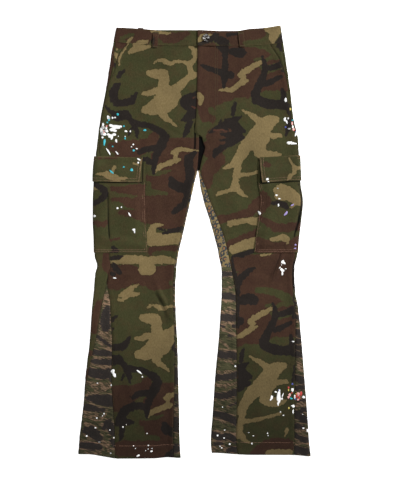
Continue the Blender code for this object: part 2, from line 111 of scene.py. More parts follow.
def soft_light(name, place, target, size, power):
    bpy.ops.object.light_add(type="AREA", location=place)
    lamp = bpy.context.object
    lamp.name = name
    lamp.data.shape = "DISK"
    lamp.data.size = size
    lamp.data.energy = power
    lamp.rotation_euler = (Vector(target) - Vector(place)).to_track_quat("-Z", "Y").to_euler()
    lamp.visible_camera = False


soft_light("key", (3.4, 2.2, 3.0), (0, 0.05, 0), size=0.8, power=305)
soft_light("overhead", (-0.1, -0.06, 1.25), (-0.03, -0.06, 0), size=0.8, power=7.2)
world = bpy.context.scene.world or bpy.data.worlds.new("room")
bpy.context.scene.world = world
world.use_nodes = True
world.node_tree.nodes["Background"].inputs["Color"].default_value = (1, 1, 1, 1)
world.node_tree.nodes["Background"].inputs["Strength"].default_value = 0.08
bpy.context.scene.view_settings.view_transform = "Standard"

# %% [markdown]
# ## The form of the laid garment
# A leg laid flat is two layers of cloth with a soft fold at each side. The tables hold the
# outline and the seams in millimetres. "up" is the height above the lowest hem along the cloth,
# "run" the distance round a leg from the outermost point of its outer fold: negative over the
# top, positive underneath. A smooth curve is read through each column.

# %% Tables
class Table:
    """Rows with named columns, read as smooth curves over the first one."""

    def __init__(self, columns, *rows):
        self.columns = columns.split()
        self.rows = np.array(sorted(rows), float)

    def read(self, name, where):
        x, y = self.rows[:, 0], self.rows[:, self.columns.index(name)]
        rise = np.diff(y) / np.diff(x)
        slope = np.concatenate([rise[:1], np.zeros(len(x) - 2), rise[-1:]])
        same_way = rise[:-1] * rise[1:] > 0
        total = np.where(same_way, rise[:-1] + rise[1:], 1.0)
        slope[1:-1] = np.where(same_way, 2 * rise[:-1] * rise[1:] / total, 0.0)
        where = np.clip(np.asarray(where, float), x[0], x[-1])
        i = np.clip(np.searchsorted(x, where) - 1, 0, len(x) - 2)
        step = x[i + 1] - x[i]
        t = (where - x[i]) / step
        ends = (1 + 2 * t) * (1 - t) ** 2 * y[i] + t * t * (3 - 2 * t) * y[i + 1]
        return ends + step * t * (1 - t) * ((1 - t) * slope[i] - t * slope[i + 1])


OUTER_FOLD = Table(
    "up right left",
    (0, -282, 282), (26, -281, 279.5), (114, -272, 274), (201, -265, 267), (289, -255, 260),
    (363, -250, 252), (406, -245.5, 245), (450, -242, 242.5), (470, -237, 243),
    (494, -243, 249), (538, -244, 253), (582, -246, 258), (626, -246, 262), (670, -244, 256),
    (702, -243, 254), (772, -236, 252), (831, -228.5, 240), (875, -219.5, 235),
    (919, -211, 229), (963, -204, 222.5), (1008, -196.5, 215.5), (1050, -189, 208),
)
INNER_FOLD = Table(
    "up right left",
    (0, -34, 42), (26, -36, 40), (114, -38, 45), (201, -40.5, 51), (289, -43, 59.5),
    (363, -47, 64.5), (406, -48, 67), (450, -46, 67), (494, -41, 60), (538, -31, 50),
    (582, -21, 37.6), (626, -11, 23), (670, -1.5, 14), (692, 4.0, 11.2), (702, 6.4, 9.4),
)
SEAMS = {
    "right": Table(
        "up outer_front outer_back inner_front inner_back",
        (0, 90, -10, 18, -65), (55, 85, -7, 16, -62), (113, 76, -3, 14, -59),
        (172, 67, 2.5, 11, -54), (260, 58.5, 12, 7.5, -47), (326, 51, 19.5, 6.5, -42),
        (382, 44, 25, 6, -36), (426, 33, 31, 6.5, -31), (467, 34, 34, 6, -26),
        (523, 38, 38, 4.6, -23), (582, 32, 32, 4.4, -22), (658, 23, 23, 4.4, -14),
        (702, 17, 17, 4.4, -5.5), (731, 12, 12, 4.4, -5.5), (772, 7, 7, 4.4, -5.5),
        (830, 3.5, 3.5, 4.4, -5.5), (885, 3.5, 3.5, 4.4, -5.5), (911, 5, 5, 4.4, -5.5),
        (935, 14, 8, 4.4, -5.5), (955, 16.5, 8, 4.4, -5.5), (975, 17.5, 7, 4.4, -5.5),
        (990, 24, 6, 4.4, -5.5), (1008, 35, 5, 4.4, -5.5),
    ),
    "left": Table(
        "up outer_front outer_back inner_front inner_back",
        (0, 40.5, -59.5, 64, -19), (55, 35.5, -54, 62, -17), (113, 32, -46, 59, -14),
        (201, 24, -36, 53.5, -9.5), (289, 16, -24, 44, -8), (335, 11, -19, 40, -7),
        (382, 7, -8, 36.5, -6.5), (415, 6, 4, 33, -6.5), (467, 6, 6, 25, -6),
        (538, 6, 6, 23.5, -5.5), (582, 6, 6, 20.5, -5.5), (660, 6, 6, 13, -5.5),
        (690, 6, 6, 5, -5.5), (702, 6, 6, 4.4, -5.5), (885, 6, 6, 4.4, -5.5),
        (911, 6, 6, 4.4, -5.5), (935, 9, 6, 4.4, -5.5), (950, 12, 6, 4.4, -5.5),
        (972, 18, 6, 4.4, -5.5), (990, 26, 6, 4.4, -5.5), (1008, 34, 6, 4.4, -5.5),
    ),
}
CENTRE = Table(
    "up fly right_edge left_edge back_seam",
    (702, 4, 5.5, 12, 9), (711, 4, 7, 14, 9), (734, 4, 9, 19, 8.5), (759, 3, 10.5, 25.5, 8),
    (770, 2, 10.7, 21.5, 8), (785, 0, 10.7, 17.5, 7), (795, 0, 12.5, 0, 6),
    (826, 3, 16, 3, 5), (875, 5.5, 18.5, 5.5, 5), (1008, 8, 21, 8, 5),
)
HEM = Table(
    "x up",
    (-282, 11.5), (-255, 10.5), (-220, 5), (-185, 0), (-100, 0.7), (-65, 3.5), (-34, 2),
    (42, 14.5), (100, 11), (140, 9), (235, 9), (280, 6),
)
WAIST_SEAM = Table("x up", (-197, 1017), (-120, 1009), (0, 1007), (120, 1007), (215, 1013))
WAIST_EDGE = Table(
    "x up",
    (-190, 1050), (-160, 1049), (-130, 1047), (-85, 1044), (0, 1044), (60, 1042),
    (100, 1042), (135, 1047), (165, 1049), (207, 1055),
)
CREASES = (
    # x0, up0, x1, up1, rise, half_width: the main ones, which the solids have too
    (-112, 428, -62, 372, 2.2, 11), (-75, 366, -48, 330, 1.8, 9),
    (-196, 474, -110, 484, 1.8, 12), (-198, 450, -140, 446, 1.4, 12),
    (214, 494, 186, 424, 2.6, 12), (110, 446, 205, 430, 1.3, 14),
    (70, 372, 130, 330, 1.3, 14), (28, 768, 76, 806, 2.6, 11), (22, 744, 88, 770, 1.8, 13),
    (-4, 762, -82, 800, 1.6, 13), (-12, 728, -96, 742, 1.4, 14),
    (-60, 950, -20, 860, 1.0, 16), (96, 962, 74, 880, 1.0, 16),
    (-180, 250, -120, 60, 1.4, 22), (-96, 230, -84, 40, 1.2, 18), (150, 260, 168, 60, 1.5, 22),
)

# %% [markdown]
# The fine creases are worn into the twill: short troughs at the knees and the crotch, and a
# long slack one down each shin. They are too slight for the solids, so only the shells have them.

# %% Fine creases
FINE_CREASES = (
    # x0, up0, x1, up1, rise, half_width
    (-102, 446, -56, 346, 2.0, 7), (-110, 440, -64, 336, -1.6, 7), (-66, 352, -46, 316, -0.8, 6),
    (213, 508, 190, 434, -1.8, 4), (219, 506, 196, 434, 1.2, 6), (-128, 440, -112, 418, -0.9, 6),
    (-150, 440, -96, 452, -0.8, 8), (-182, 462, -150, 470, 0.8, 6), (222, 470, 202, 430, -1.1, 7),
    (196, 470, 180, 404, 0.8, 8), (84, 420, 120, 408, 0.8, 9), (92, 400, 150, 380, -0.7, 9),
    (14, 806, 40, 822, 1.0, 7), (60, 790, 104, 812, -0.8, 9), (40, 748, 90, 752, 0.8, 8),
    (-20, 786, -70, 820, 0.9, 8), (-16, 748, -70, 762, -0.8, 8), (-30, 706, -90, 700, 0.8, 9),
    (-72, 990, -60, 900, 0.6, 12), (-120, 880, -100, 780, 0.6, 14), (120, 980, 110, 860, 0.6, 14),
    (150, 900, 170, 800, 0.7, 14), (-150, 330, -130, 200, 0.8, 16), (-70, 300, -72, 160, 0.7, 14),
    (110, 300, 104, 120, 0.8, 16), (200, 330, 206, 180, 0.7, 14), (90, 640, 130, 560, 0.8, 15),
    (-90, 640, -100, 540, 0.8, 15), (60, 690, 92, 640, 0.7, 12), (-50, 660, -66, 580, 0.7, 12),
    (1.5, 822, 0.5, 750, -1.4, 5), (-40, 930, 0, 900, 0.5, 9), (50, 900, 90, 930, 0.5, 9),
    (-150, 130, -100, 150, 0.6, 10),
)


def smooth(t):
    """0 below 0, 1 above 1, and soft between them."""
    t = np.clip(t, 0.0, 1.0)
    return t * t * (3 - 2 * t)


def within(value, low, high, ramp):
    """1 from low to high, falling softly to 0 within the ramp outside them."""
    return smooth((value - low) / ramp + 1) * smooth((high - value) / ramp + 1)


def bell(distance, width):
    """A bell curve: 1 at no distance, and next to nothing beyond two widths."""
    return np.exp(-((distance / width) ** 2))


def beside(x, up, x0, up0, x1, up1):
    """How far points lie along a line from its first end and across it, and its length."""
    length = math.hypot(x1 - x0, up1 - up0)
    along = ((x - x0) * (x1 - x0) + (up - up0) * (up1 - up0)) / length
    across = ((up - up0) * (x1 - x0) - (x - x0) * (up1 - up0)) / length
    return along, across, length


CREASE_FADE = 0.35  # of a crease's length, at each end


def crease_rise(x, up, creases):
    rise = np.zeros(np.broadcast(x, up).shape)
    for *line, height, half_width in creases:
        along, across, length = beside(x, up, *line)
        fade = CREASE_FADE * length
        ends = smooth(along / fade) * smooth((length - along) / fade)
        rise = rise + height * ends * smooth(1 - np.abs(across) / half_width)
    return rise


def slack(x, up):
    """Gentle waves of cloth that lies loose, a few of them at different slants."""
    waves = np.sin(x / 23 + up / 61) * np.sin(up / 37 - x / 80)
    waves = waves + 0.7 * np.sin(x / 41 - up / 29 + 1.3) + 0.5 * np.sin(x / 13 + up / 90 + 0.4)
    return 0.6 * waves

# %% [markdown]
# A layer gives the points of a leg's cloth from its run and height. The pockets, flaps and
# belt loops are laid on it by moving its points out along the surface.

# %% Layers
WAIST, BAND_TOP, CROTCH, FLY_END = 1008.0, 1044.0, 702.0, 785.0
OUTER_FLARE_TOP = {"right": 426.0, "left": 415.0}
INNER_FLARE_TOP, FACING_END = 467.0, 922.0
HEM_REACH, SEAT_START = 150.0, 740.0
CLOTH, BAND_CLOTH, FLAP_CLOTH, LOOP_CLOTH = 1.2, 2.4, 2.0, 1.4
SEAM_GAP, LAID_GAP = 0.3, 0.7
BODY_SPACING, BAND_SPACING = 2.7, 3.4
LAP_WIDTH, BAND_LAP, LAP_RAMP = 13.0, 34.0, 16.0
OUTER_BULGE, INNER_BULGE, BAND_BULGE, BULGE_REACH = 3.2, 2.2, 1.6, 30.0
RAMP, FRONT_RAMP, BEYOND, ACROSS_BODY = 14.0, 55.0, 2000.0, 80.0
LOOP_START = WAIST - 26.0
POCKET_TOP, POCKET_BOTTOM, FLAP_TOP, FLAP_BOTTOM = 724.0, 502.0, 734.0, 673.0
POCKET_REACH = {"right": (125.0, 57.0), "left": (101.0, 86.0)}
FLAP_REACH = {"right": (116.0, 52.0), "left": (97.0, 80.0)}
FLAP_TILT = {"right": 2.0, "left": 4.5}
POCKET_BULGE, POCKET_SLOPE = 4.5, 26.0
SIGN = {"right": -1.0, "left": 1.0}
QUARTER = math.pi / 2


def lengthwise(x, up):
    """Y of a height, where hems, waist seam and waistband edge have their own curves."""
    seam, edge = WAIST_SEAM.read("up", x), WAIST_EDGE.read("up", x)
    body = up + (seam - WAIST) * smooth((up - SEAT_START) / (WAIST - SEAT_START))
    body = body + HEM.read("up", x) * smooth(1 - up / HEM_REACH)
    band = seam + (edge - seam) * (up - WAIST) / (BAND_TOP - WAIST)
    return np.where(up > WAIST, band, body) - LENGTH / 2


class Layer:
    """A leg's two layers of cloth, with a soft fold at each side below the crotch."""

    def __init__(self, side, cloth, spacing, bulge):
        self.side, self.cloth, self.spacing, self.bulge = side, cloth, spacing, bulge

    def folds(self, up):
        inner = INNER_FOLD.read(self.side, up)
        across_body = -SIGN[self.side] * ACROSS_BODY
        return OUTER_FOLD.read(self.side, up), np.where(up > CROTCH, across_body, inner)

    def lift(self, x, up, ramp):
        inward = np.abs(x - self.folds(up)[0])
        near = within(inward, -BEYOND, POCKET_REACH[self.side][1] + 4, ramp)
        pocket = near * within(up, POCKET_BOTTOM - 4, FLAP_TOP + 6, ramp)
        flap = near * within(up, FLAP_BOTTOM - 4, FLAP_TOP + 6, ramp)
        loops = within(up, LOOP_START, BEYOND, ramp)
        laid = pocket * (CLOTH + LAID_GAP) + flap * (FLAP_CLOTH + LAID_GAP)
        return laid + loops * (LOOP_CLOTH + SEAM_GAP)

    def bottom(self, x, up):
        return self.cloth / 2 + self.lift(x, up, RAMP)

    def top(self, x, up):
        outer, inner = self.folds(up)
        rise = self.bulge * (1 - smooth((np.abs(x - outer) - 3) / BULGE_REACH))
        legs = smooth((CROTCH - up) / 40)
        rise = rise + INNER_BULGE * legs * (1 - smooth((np.abs(x - inner) - 3) / BULGE_REACH))
        folds = crease_rise(x, up, CREASES)
        if self.cloth == CLOTH:
            folds = folds + crease_rise(x, up, FINE_CREASES) + slack(x, up)
        level = self.cloth / 2 + self.lift(x, up, FRONT_RAMP) + self.spacing
        return level + rise + folds

    def sizes(self, up):
        """Each fold's X, half height, and the half perimeter."""
        outer, inner = self.folds(up)
        outer_half = (self.top(outer, up) - self.bottom(outer, up)) / 2
        inner_half = (self.top(inner, up) - self.bottom(inner, up)) / 2
        half_perimeter = np.abs(outer - inner) + (QUARTER - 1) * (outer_half + inner_half)
        return outer, inner, outer_half, inner_half, half_perimeter

    def half_round(self, up):
        """The distance round the leg from its outer fold to its inner one."""
        return self.sizes(up)[4]

    def round_leg(self, run, up):
        outer, inner, outer_half, inner_half, half_perimeter = self.sizes(up)
        sign = SIGN[self.side]
        past = np.abs(run) > half_perimeter
        distance = np.where(past, 2 * half_perimeter - np.abs(run), np.abs(run))
        over = (run < 0) != past
        outer_angle = np.minimum(distance / outer_half, QUARTER)
        to_end = half_perimeter - distance
        inner_angle = np.minimum(to_end / inner_half, QUARTER)
        flat_x = outer - sign * (outer_half + distance - outer_half * QUARTER)
        at_outer = distance < outer_half * QUARTER
        at_inner = (to_end < inner_half * QUARTER) & ~at_outer
        x = np.where(at_outer, outer - sign * outer_half * (1 - np.cos(outer_angle)), flat_x)
        x = np.where(at_inner, inner + sign * inner_half * (1 - np.cos(inner_angle)), x)
        top, bottom = self.top(x, up), self.bottom(x, up)
        swing = np.where(at_outer, np.sin(outer_angle), np.sin(inner_angle))
        turned = (top + bottom) / 2 + np.where(over, 0.5, -0.5) * (top - bottom) * swing
        z = np.where(at_outer | at_inner, turned, np.where(over, top, bottom))
        return np.stack([x, lengthwise(x, up), z], axis=-1)

    def run_to_x(self, x, up):
        outer, _, outer_half, _, _ = self.sizes(up)
        return np.abs(x - outer) + (QUARTER - 1) * outer_half

    def laid_over(self, run, up, height):
        """Points this far outside the leg's surface."""
        step = 1.0  # mm, between the points that the surface's slope is read from
        across = self.round_leg(run + step, up) - self.round_leg(run - step, up)
        above = np.where(up <= CROTCH, np.minimum(up + step, CROTCH), up + step)
        below = np.where(up > CROTCH, np.maximum(up - step, CROTCH + 0.01), up - step)
        along = self.round_leg(run, above) - self.round_leg(run, below)
        normal = np.cross(across, along) * SIGN[self.side]
        normal = normal / np.linalg.norm(normal, axis=-1, keepdims=True)
        return self.round_leg(run, up) + normal * np.asarray(height)[..., None]


BODY = {side: Layer(side, CLOTH, BODY_SPACING, OUTER_BULGE) for side in SIGN}
BAND = {side: Layer(side, BAND_CLOTH, BAND_SPACING, BAND_BULGE) for side in SIGN}


FLY_AIR, FLY_EDGE, FLY_EDGE_WIDTH = 0.5, 0.9, 9.0  # air between the sides, the hemmed edge
FLY_SLOPE = 25.0  # over which the lap rises at the fly's end


def fly_lift(x, up, thickness, lap):
    """How far the left side stands above the right one's edge, which runs under it."""
    from_edge = x - CENTRE.read("fly", up)
    stand = thickness + FLY_AIR + FLY_EDGE * bell(from_edge, FLY_EDGE_WIDTH)
    past_lap = smooth((from_edge - lap - 2) / LAP_RAMP)
    return stand * (1 - past_lap) * smooth((up - FLY_END + FLY_SLOPE) / FLY_SLOPE)

# %% [markdown]
# ## The print
# Woodland camouflage is four screens: a green ground, then brown, sand and black shapes. Here
# each shape is drawn as a few brush strokes, a line of points with a radius, in the
# photograph's pixels: "x,y,radius", with semicolons between strokes. The cloth repeats every 245
# pixels along the leg. For each point of the cloth the distance to the nearest stroke is worked
# out and stored, and the shader turns it into a crisp edge with a little ink wobble.

# %% Strokes of the print
CAMOUFLAGE = {
    "front_right": {
        "sand": """
        189,46.5,0.8 192,48.5,2.2 195,52,3 195.5,57,2.6 193.5,61,1.8; 154,63.5,0.8 158,60.5,1.2
        163,60.8,1.8 167,63.4,2.6 171,64,2.4 175,61.8,1.4 182,61.9,1.4 186,63,2 190,64,3
        193.5,61.5,2; 188.5,64,2.6 190,69,2.8 191,75,3.2; 199,74.5,2.2 193,75.5,3.4 188,78.5,3.4
        183,83,3.8 178,88,4.6 172,92,6; 149.8,73.5,3.6 156,74,5 163,74.6,5.4 164,80,5.4 163.5,86,5
        168,92,6; 143.5,93.5,2 149,93.4,2.8 156,91,3.2 164,92,5; 168,97,10 161,104,9.2 153,108.6,7
        146,110,4.4; 175,95,6.4 171,103,6.4 165,108,6; 163.5,115,4 166.5,119,3.2 171,121.6,2
        175,125,1.5 176.7,126.6,0.8; 200,150.6,0.9 193,150.8,1.2 188,149.8,1.8 182,149.2,2
        177,150.4,2.6 171.5,153,1.3; 176,153,2.6 175,158,2.2 176.5,161,2.6; 178.8,160,1.6
        171,162.4,3 163,165.5,2.7 157,168.3,2.9 155,171.5,1.6; 163.4,225,0.9 160,224.5,1.5
        156,225.6,2.2 152.5,228.6,3.6 151,235,5.4 151,241,5.4; 158,239.6,6.6 168,239,6 176,238.8,5.8
        184,238.8,5.8; 111,262,1.8 118,262,2.1 124,259.6,4.4 135,259.6,4.4 150,260.3,3.8 165,260,4.2
        170,260.6,3.5 177,262.4,1.6; 146,263,6 144.5,269.5,5.6 150.5,269,5.6""",
        "brown": """
        112,147,4.6 125,148.5,8 139,148,8 150,144,6.5 155,136,4.6 157.5,131,2; 121,160,7 135,160,7;
        127,204,8 140,203,8.6 150,205,9; 150,178,4; 160,145.5,8 175,146.5,8.6 190,146.5,8.6
        200,146,8; 163,160,13 180,163,14 199,163,13; 160,183,9 175,182,15 198,184,14; 155,205,12
        172,205,16 192,205,12; 150,217,7 160,219,9 172,221,9 188,222,8; 152,251,4.6 165,248.3,3
        186,247.8,3; 105,272,9 115,274,9 127,274,10 136,276,9 147,281,5 160,276,10 170,274,9
        179,272,8; 113,284,6 124,284,4.6 133,281,3; 160,38,8 172,38,7 180,38,5""",
        "green": """
        150,174,1.8 157,173.2,2.6 164,172.4,2 170,170.6,1; 149,193,3 157,192.6,3 166,193.6,2;
        155,254,2.4 163,253.2,2.8 170,254.5,3.2 176,259,2.6 178,263,2; 171,283,2 176,284,3;
        123,172,2 122.6,186,1.8 124,195,2.2; 131,187,4 136,190,5.4 141,192,4.6; 138,171.5,2.6
        144,172.5,3""",
        "black": """
        124.8,70.8,1.2 121,73.6,2.4 118.3,77,1.8; 119.5,84,2 116,87,3.6 113.5,92,4.4 114,99,4.4;
        136.8,92.6,1.3 134,97.5,3 131,101.5,4 124,103,3.8 117,103.4,4; 106,107.4,1.6 110,111.6,2
        114,114,3.4 120,115.6,5.6 126,114.6,4.6 130,119,2.8 134,123.4,3.4 141,124.6,3 149,125.4,3
        156,129,3.2 162,132.6,4 165,137.5,4.6 162,144,5 159,150,4 156,157,3.6 154.4,164,3.2
        153.6,173,1.4; 118,119,3 112,118,1.4; 134,126,3 137,131.6,2.6 137,135,1.8 137.8,139.4,0.7;
        131.4,129.6,1.4 128.6,135,0.8; 137,151.4,0.9 139.6,153,2 144,150,3 151,148.4,3.2
        157,148,3.4; 143.4,160,1.4 147,161.4,2.8 152,162,3; 148,160.6,3.4 140.5,161.5,4
        133.5,165,4.4 129.5,170,4.6 126.5,176,4 124,179,2.4; 129,175,5 133.5,177.4,3.6
        140.6,177.6,1.8; 129.5,182,3.2 129,190,2.4 127,196,0.9; 198,92.5,2 192,95.6,3 186,99.2,4.4
        184,103,4.6 189,105,6.4 195,104,7; 197,110,6.4 192,114,5.4 187,118,4 182,120.4,1.4;
        191.4,122,2 188.5,126.5,3.2 186.6,131.4,3 184.4,135.6,1.8; 195,153,2.2 189,158,4.6
        188.4,165,4.4 190,172,4.6 190,180,5 189,188,5.8 188,196,4.6 185.8,202,3.8 181,207,3.2
        176,210.4,3.5 173,212.6,2.2; 171.5,179.6,3 173,184,5 180,187.4,4.8 187,189,4.4; 184,228,2.4
        176,230,2.5 170,231.2,2.2 166,232.6,1.7 163,233.8,1.2; 157,228.6,1.2 165,230,1; 112,258,2.4
        118,257.4,2.4 123,256,0.9; 112.4,265.4,1.8 116,268.8,2.6 119.5,272.2,2; 111.4,273.6,1.6
        114.6,274.6,1.5""",
        "specks": "193.5,98,1.2 195,97.4,0.9; 191.6,106.6,0.9 195,108,1.1",
    },
    "front_left": {
        "sand": """
        219.6,90.6,0.9 223,89.4,1.5 228,90.2,2 232,89.4,2.6 238,85.6,2.8 243,82.4,2.6
        247.4,80.8,1.2; 241.5,80,2 243.4,77,3 241,75.6,3; 240.4,75,3 245,71.5,3.3 252,67.4,3
        258,64,2.6 261.4,62.6,2; 198.5,95.5,3 201.5,98,3 200,104,1.8; 241.6,110,0.6 246,112.4,1.5
        251,115,2.4 255,117.6,3 259,121,3.6; 263,122.4,4.4 270,120.6,5.2 276,119.8,3.6; 262,128,7
        258,135,8.6 254,141,9; 272,122,4.6 266,130,5 264,138,6; 272,136.4,2.8 279,135.4,2.4
        281.4,136.6,0.9; 260,143,6.6 261,148,5.2 260.5,155,2.6; 258,153,4.4 265,155.5,5.4
        272,156,4.8 276,155.4,3.4 280,154.8,1.2; 246.5,145,6.4 243,151.5,6 239,158,5 236.5,163.5,5
        231,165.6,2.8 225.4,168,1.6 222.8,168.6,0.9; 251,147,4; 238,167,3.4 237,172,3.4
        236,177.6,3.2 235,183.4,3.6 235,188.6,3.8; 239,175,3 244,175,1.9 250,174,1.7 256,172.6,1.7
        262,171,1.6 268,169.6,1.5 275,167.6,1.3; 233.5,188,2.8 230,190.4,2 224,192,1.8 219,193.8,2.3
        216.8,195,1.5; 236.6,188,3.2 240,192,2.7 243,195,1.9 247,196.5,0.6; 229.4,223.6,2.8
        233,222.6,3 240,221.6,2.7 247,220.6,2.6 253,221.4,4 260,221,4; 233,249.6,4.4 240,246.6,5
        248,244,5.2 260,241.6,5.4; 260.6,254.8,0.7 264,255.6,1.3 268,254.3,1 272.4,253,0.5;
        267,207,4 286,207,4; 283,183,1.8 281.6,190,0.9""",
        "brown": """
        204,50,16 225,50,18 245,50,16 262,52,14 285,50,12; 204,76,16 225,80,18 247,80,18 264,84,9
        288,80,12; 203,99,9 213,96,10 228,90,11; 206,105,9 208,117,8; 216,137,10 226,134,7 236,132,5
        212,149,10; 217,160,8.6 208,171,7 208,184,4.6; 226,141.5,3 236,138,1.4; 283,200,8
        274,199,7.6 266,199.6,7 260,202,6 255,206,5.6 250,212,4.6 240,215,3.8 230,218,3.4
        221,219,4.4; 262,232,4 254,234,3.4 246,236.6,3.2 238,240,3.2 229,244,3.4 226,249,2.4;
        237,264,8 250,264,10 266,264,10 282,264,12 297,262,10; 240,281,9 258,281,9 275,279,9
        293,278,8""",
        "green": """
        246,44,3 256,44.6,3.4 264,46,3.4 272,50,4.6 281,55,4.4; 256,60,2 260,59.4,2.2; 267,60,2
        271,57.6,2.4 276,57.6,3; 265,93.6,2.8 272,94,3.2 279,94,3.2; 211,110,3.2 213.4,113.4,2.6;
        203,125,2 210,124,2.2""",
        "black": """
        199,45,1.4 205,42.4,2 212,39.4,3.4 219,38.4,5.4 223,43,4.6; 224.6,46,4.2 225,56,3 225,66,3
        224.6,76,4.2 224,84,2.2 223.6,88,1.2; 232.6,52,4 240,53,5.4 243.4,53,3.2; 201,65.6,1
        206,67.6,2.2 212,69.6,2.6 218,71.6,3 224,73.4,4 230.6,75.4,4; 262,57.4,1.2 264,62,2.3
        264.6,68,3 264,74,3.2 262,80,4 258,88,4.2 255,95,4.6 256,99.4,5 262,102,5 268,104,5
        276,104.6,5 284,105,4.6 289,109,3.4 291,115,2.6; 266,68.6,2.6 273,68,3 279,65.6,3.6
        282,62,2.4; 283,50,2.2 286.6,58,3.4 286,66,3.2 283,71,2; 265,84,3 270,82.4,3.2 276,79,2.6
        281,77,2; 282,90,2 283.4,96,3 284,102,4; 289,121,3 287.6,130,2.4 286,135,1.4;
        235.4,102.6,1.2 234,108,2.3 233,115,2.2; 241.4,116.6,0.7 236,119.6,3 229,122.6,4.2
        222,126.4,3.4 215,129.4,2.4 208.6,133,1.1; 220.6,119,0.6 220,124,1.4 217,128,2;
        225,118.4,0.6 226,122,1.6; 232,124,5.6 238,129.6,5 243.6,131,2.4; 238,133,4.4 231,135.6,3.6
        224,134.8,1.9 219.6,134,0.9; 236,137,3.4 229,139.4,2.4 222,140.4,1.4 218.6,139.6,0.7;
        226,130,2.6 221,131,1.2; 242,137,2.6 235,141.4,2.8 228,145,2.8 221,148.4,3 216.4,151.6,3.2
        214,156.6,2.1; 232.6,256,1.1 241,255.4,2.9 248,252.6,2.5 258,250,1.8; 255,268,1.4
        250,270,2.5 244,275,3.2 239,280,3.8 236,286,4.2; 231.6,257,0.9 233,267,1.6 234.6,277,3""",
        "specks": "214,130.5,1.1 221,130,1 227,131.4,0.9",
    },
}
PRINT_REPEAT = {"front_right": (-7.2, 244.6), "front_left": (9.0, 246.0)}  # along the leg
PRINT_SKEW = {"front_right": 0.0, "front_left": 0.055}  # the repeat leans this much on its leg
ONCE = {
    "front_left": {
        "sand": "272.4,44,1.6 272.4,48,0.5",
        "black": """
        219,47,2.6 224.6,52,3.2; 238.5,300.5,4 254,300.4,4.6; 236.4,284,1.8 237.2,300,2.4
        238,328,0.9""",
    },
    "front_right": {
        "sand": """
        132.2,38.7,0.6 126.5,47,0.9 122,54,0.9 119.4,58.5,1.1 118.8,66,0.6; 129.5,53,1.6
        134,49.8,3.4 138,47.5,4 143,49,2.6 150,46.5,1.2; 136,45.5,3.2 144,43.2,1.8 150.5,41,1.1;
        118.8,299.2,1.5 122.5,299.6,1.6 127,297.4,1.8; 120.6,295.6,1.6 124,292.4,2.4 129,290,2.8
        133,287,2.1 138.4,284.8,1.1; 124,294,3 130,293.8,3 134,294.4,2.4 139,293.2,1.2""",
        "black": "114,263.6,1.6 117,268.4,2.2 120.4,272.4,1.6",
    },
}
PRINT_WIDTH = {"front_right": (-112.0, 90.0), "front_left": (108.0, 85.0)}  # and across it

# %% [markdown]
# Pockets, flaps, waistband halves, facings and the strips of the back that show are cut from
# other parts of the cloth, so each has strokes of its own.

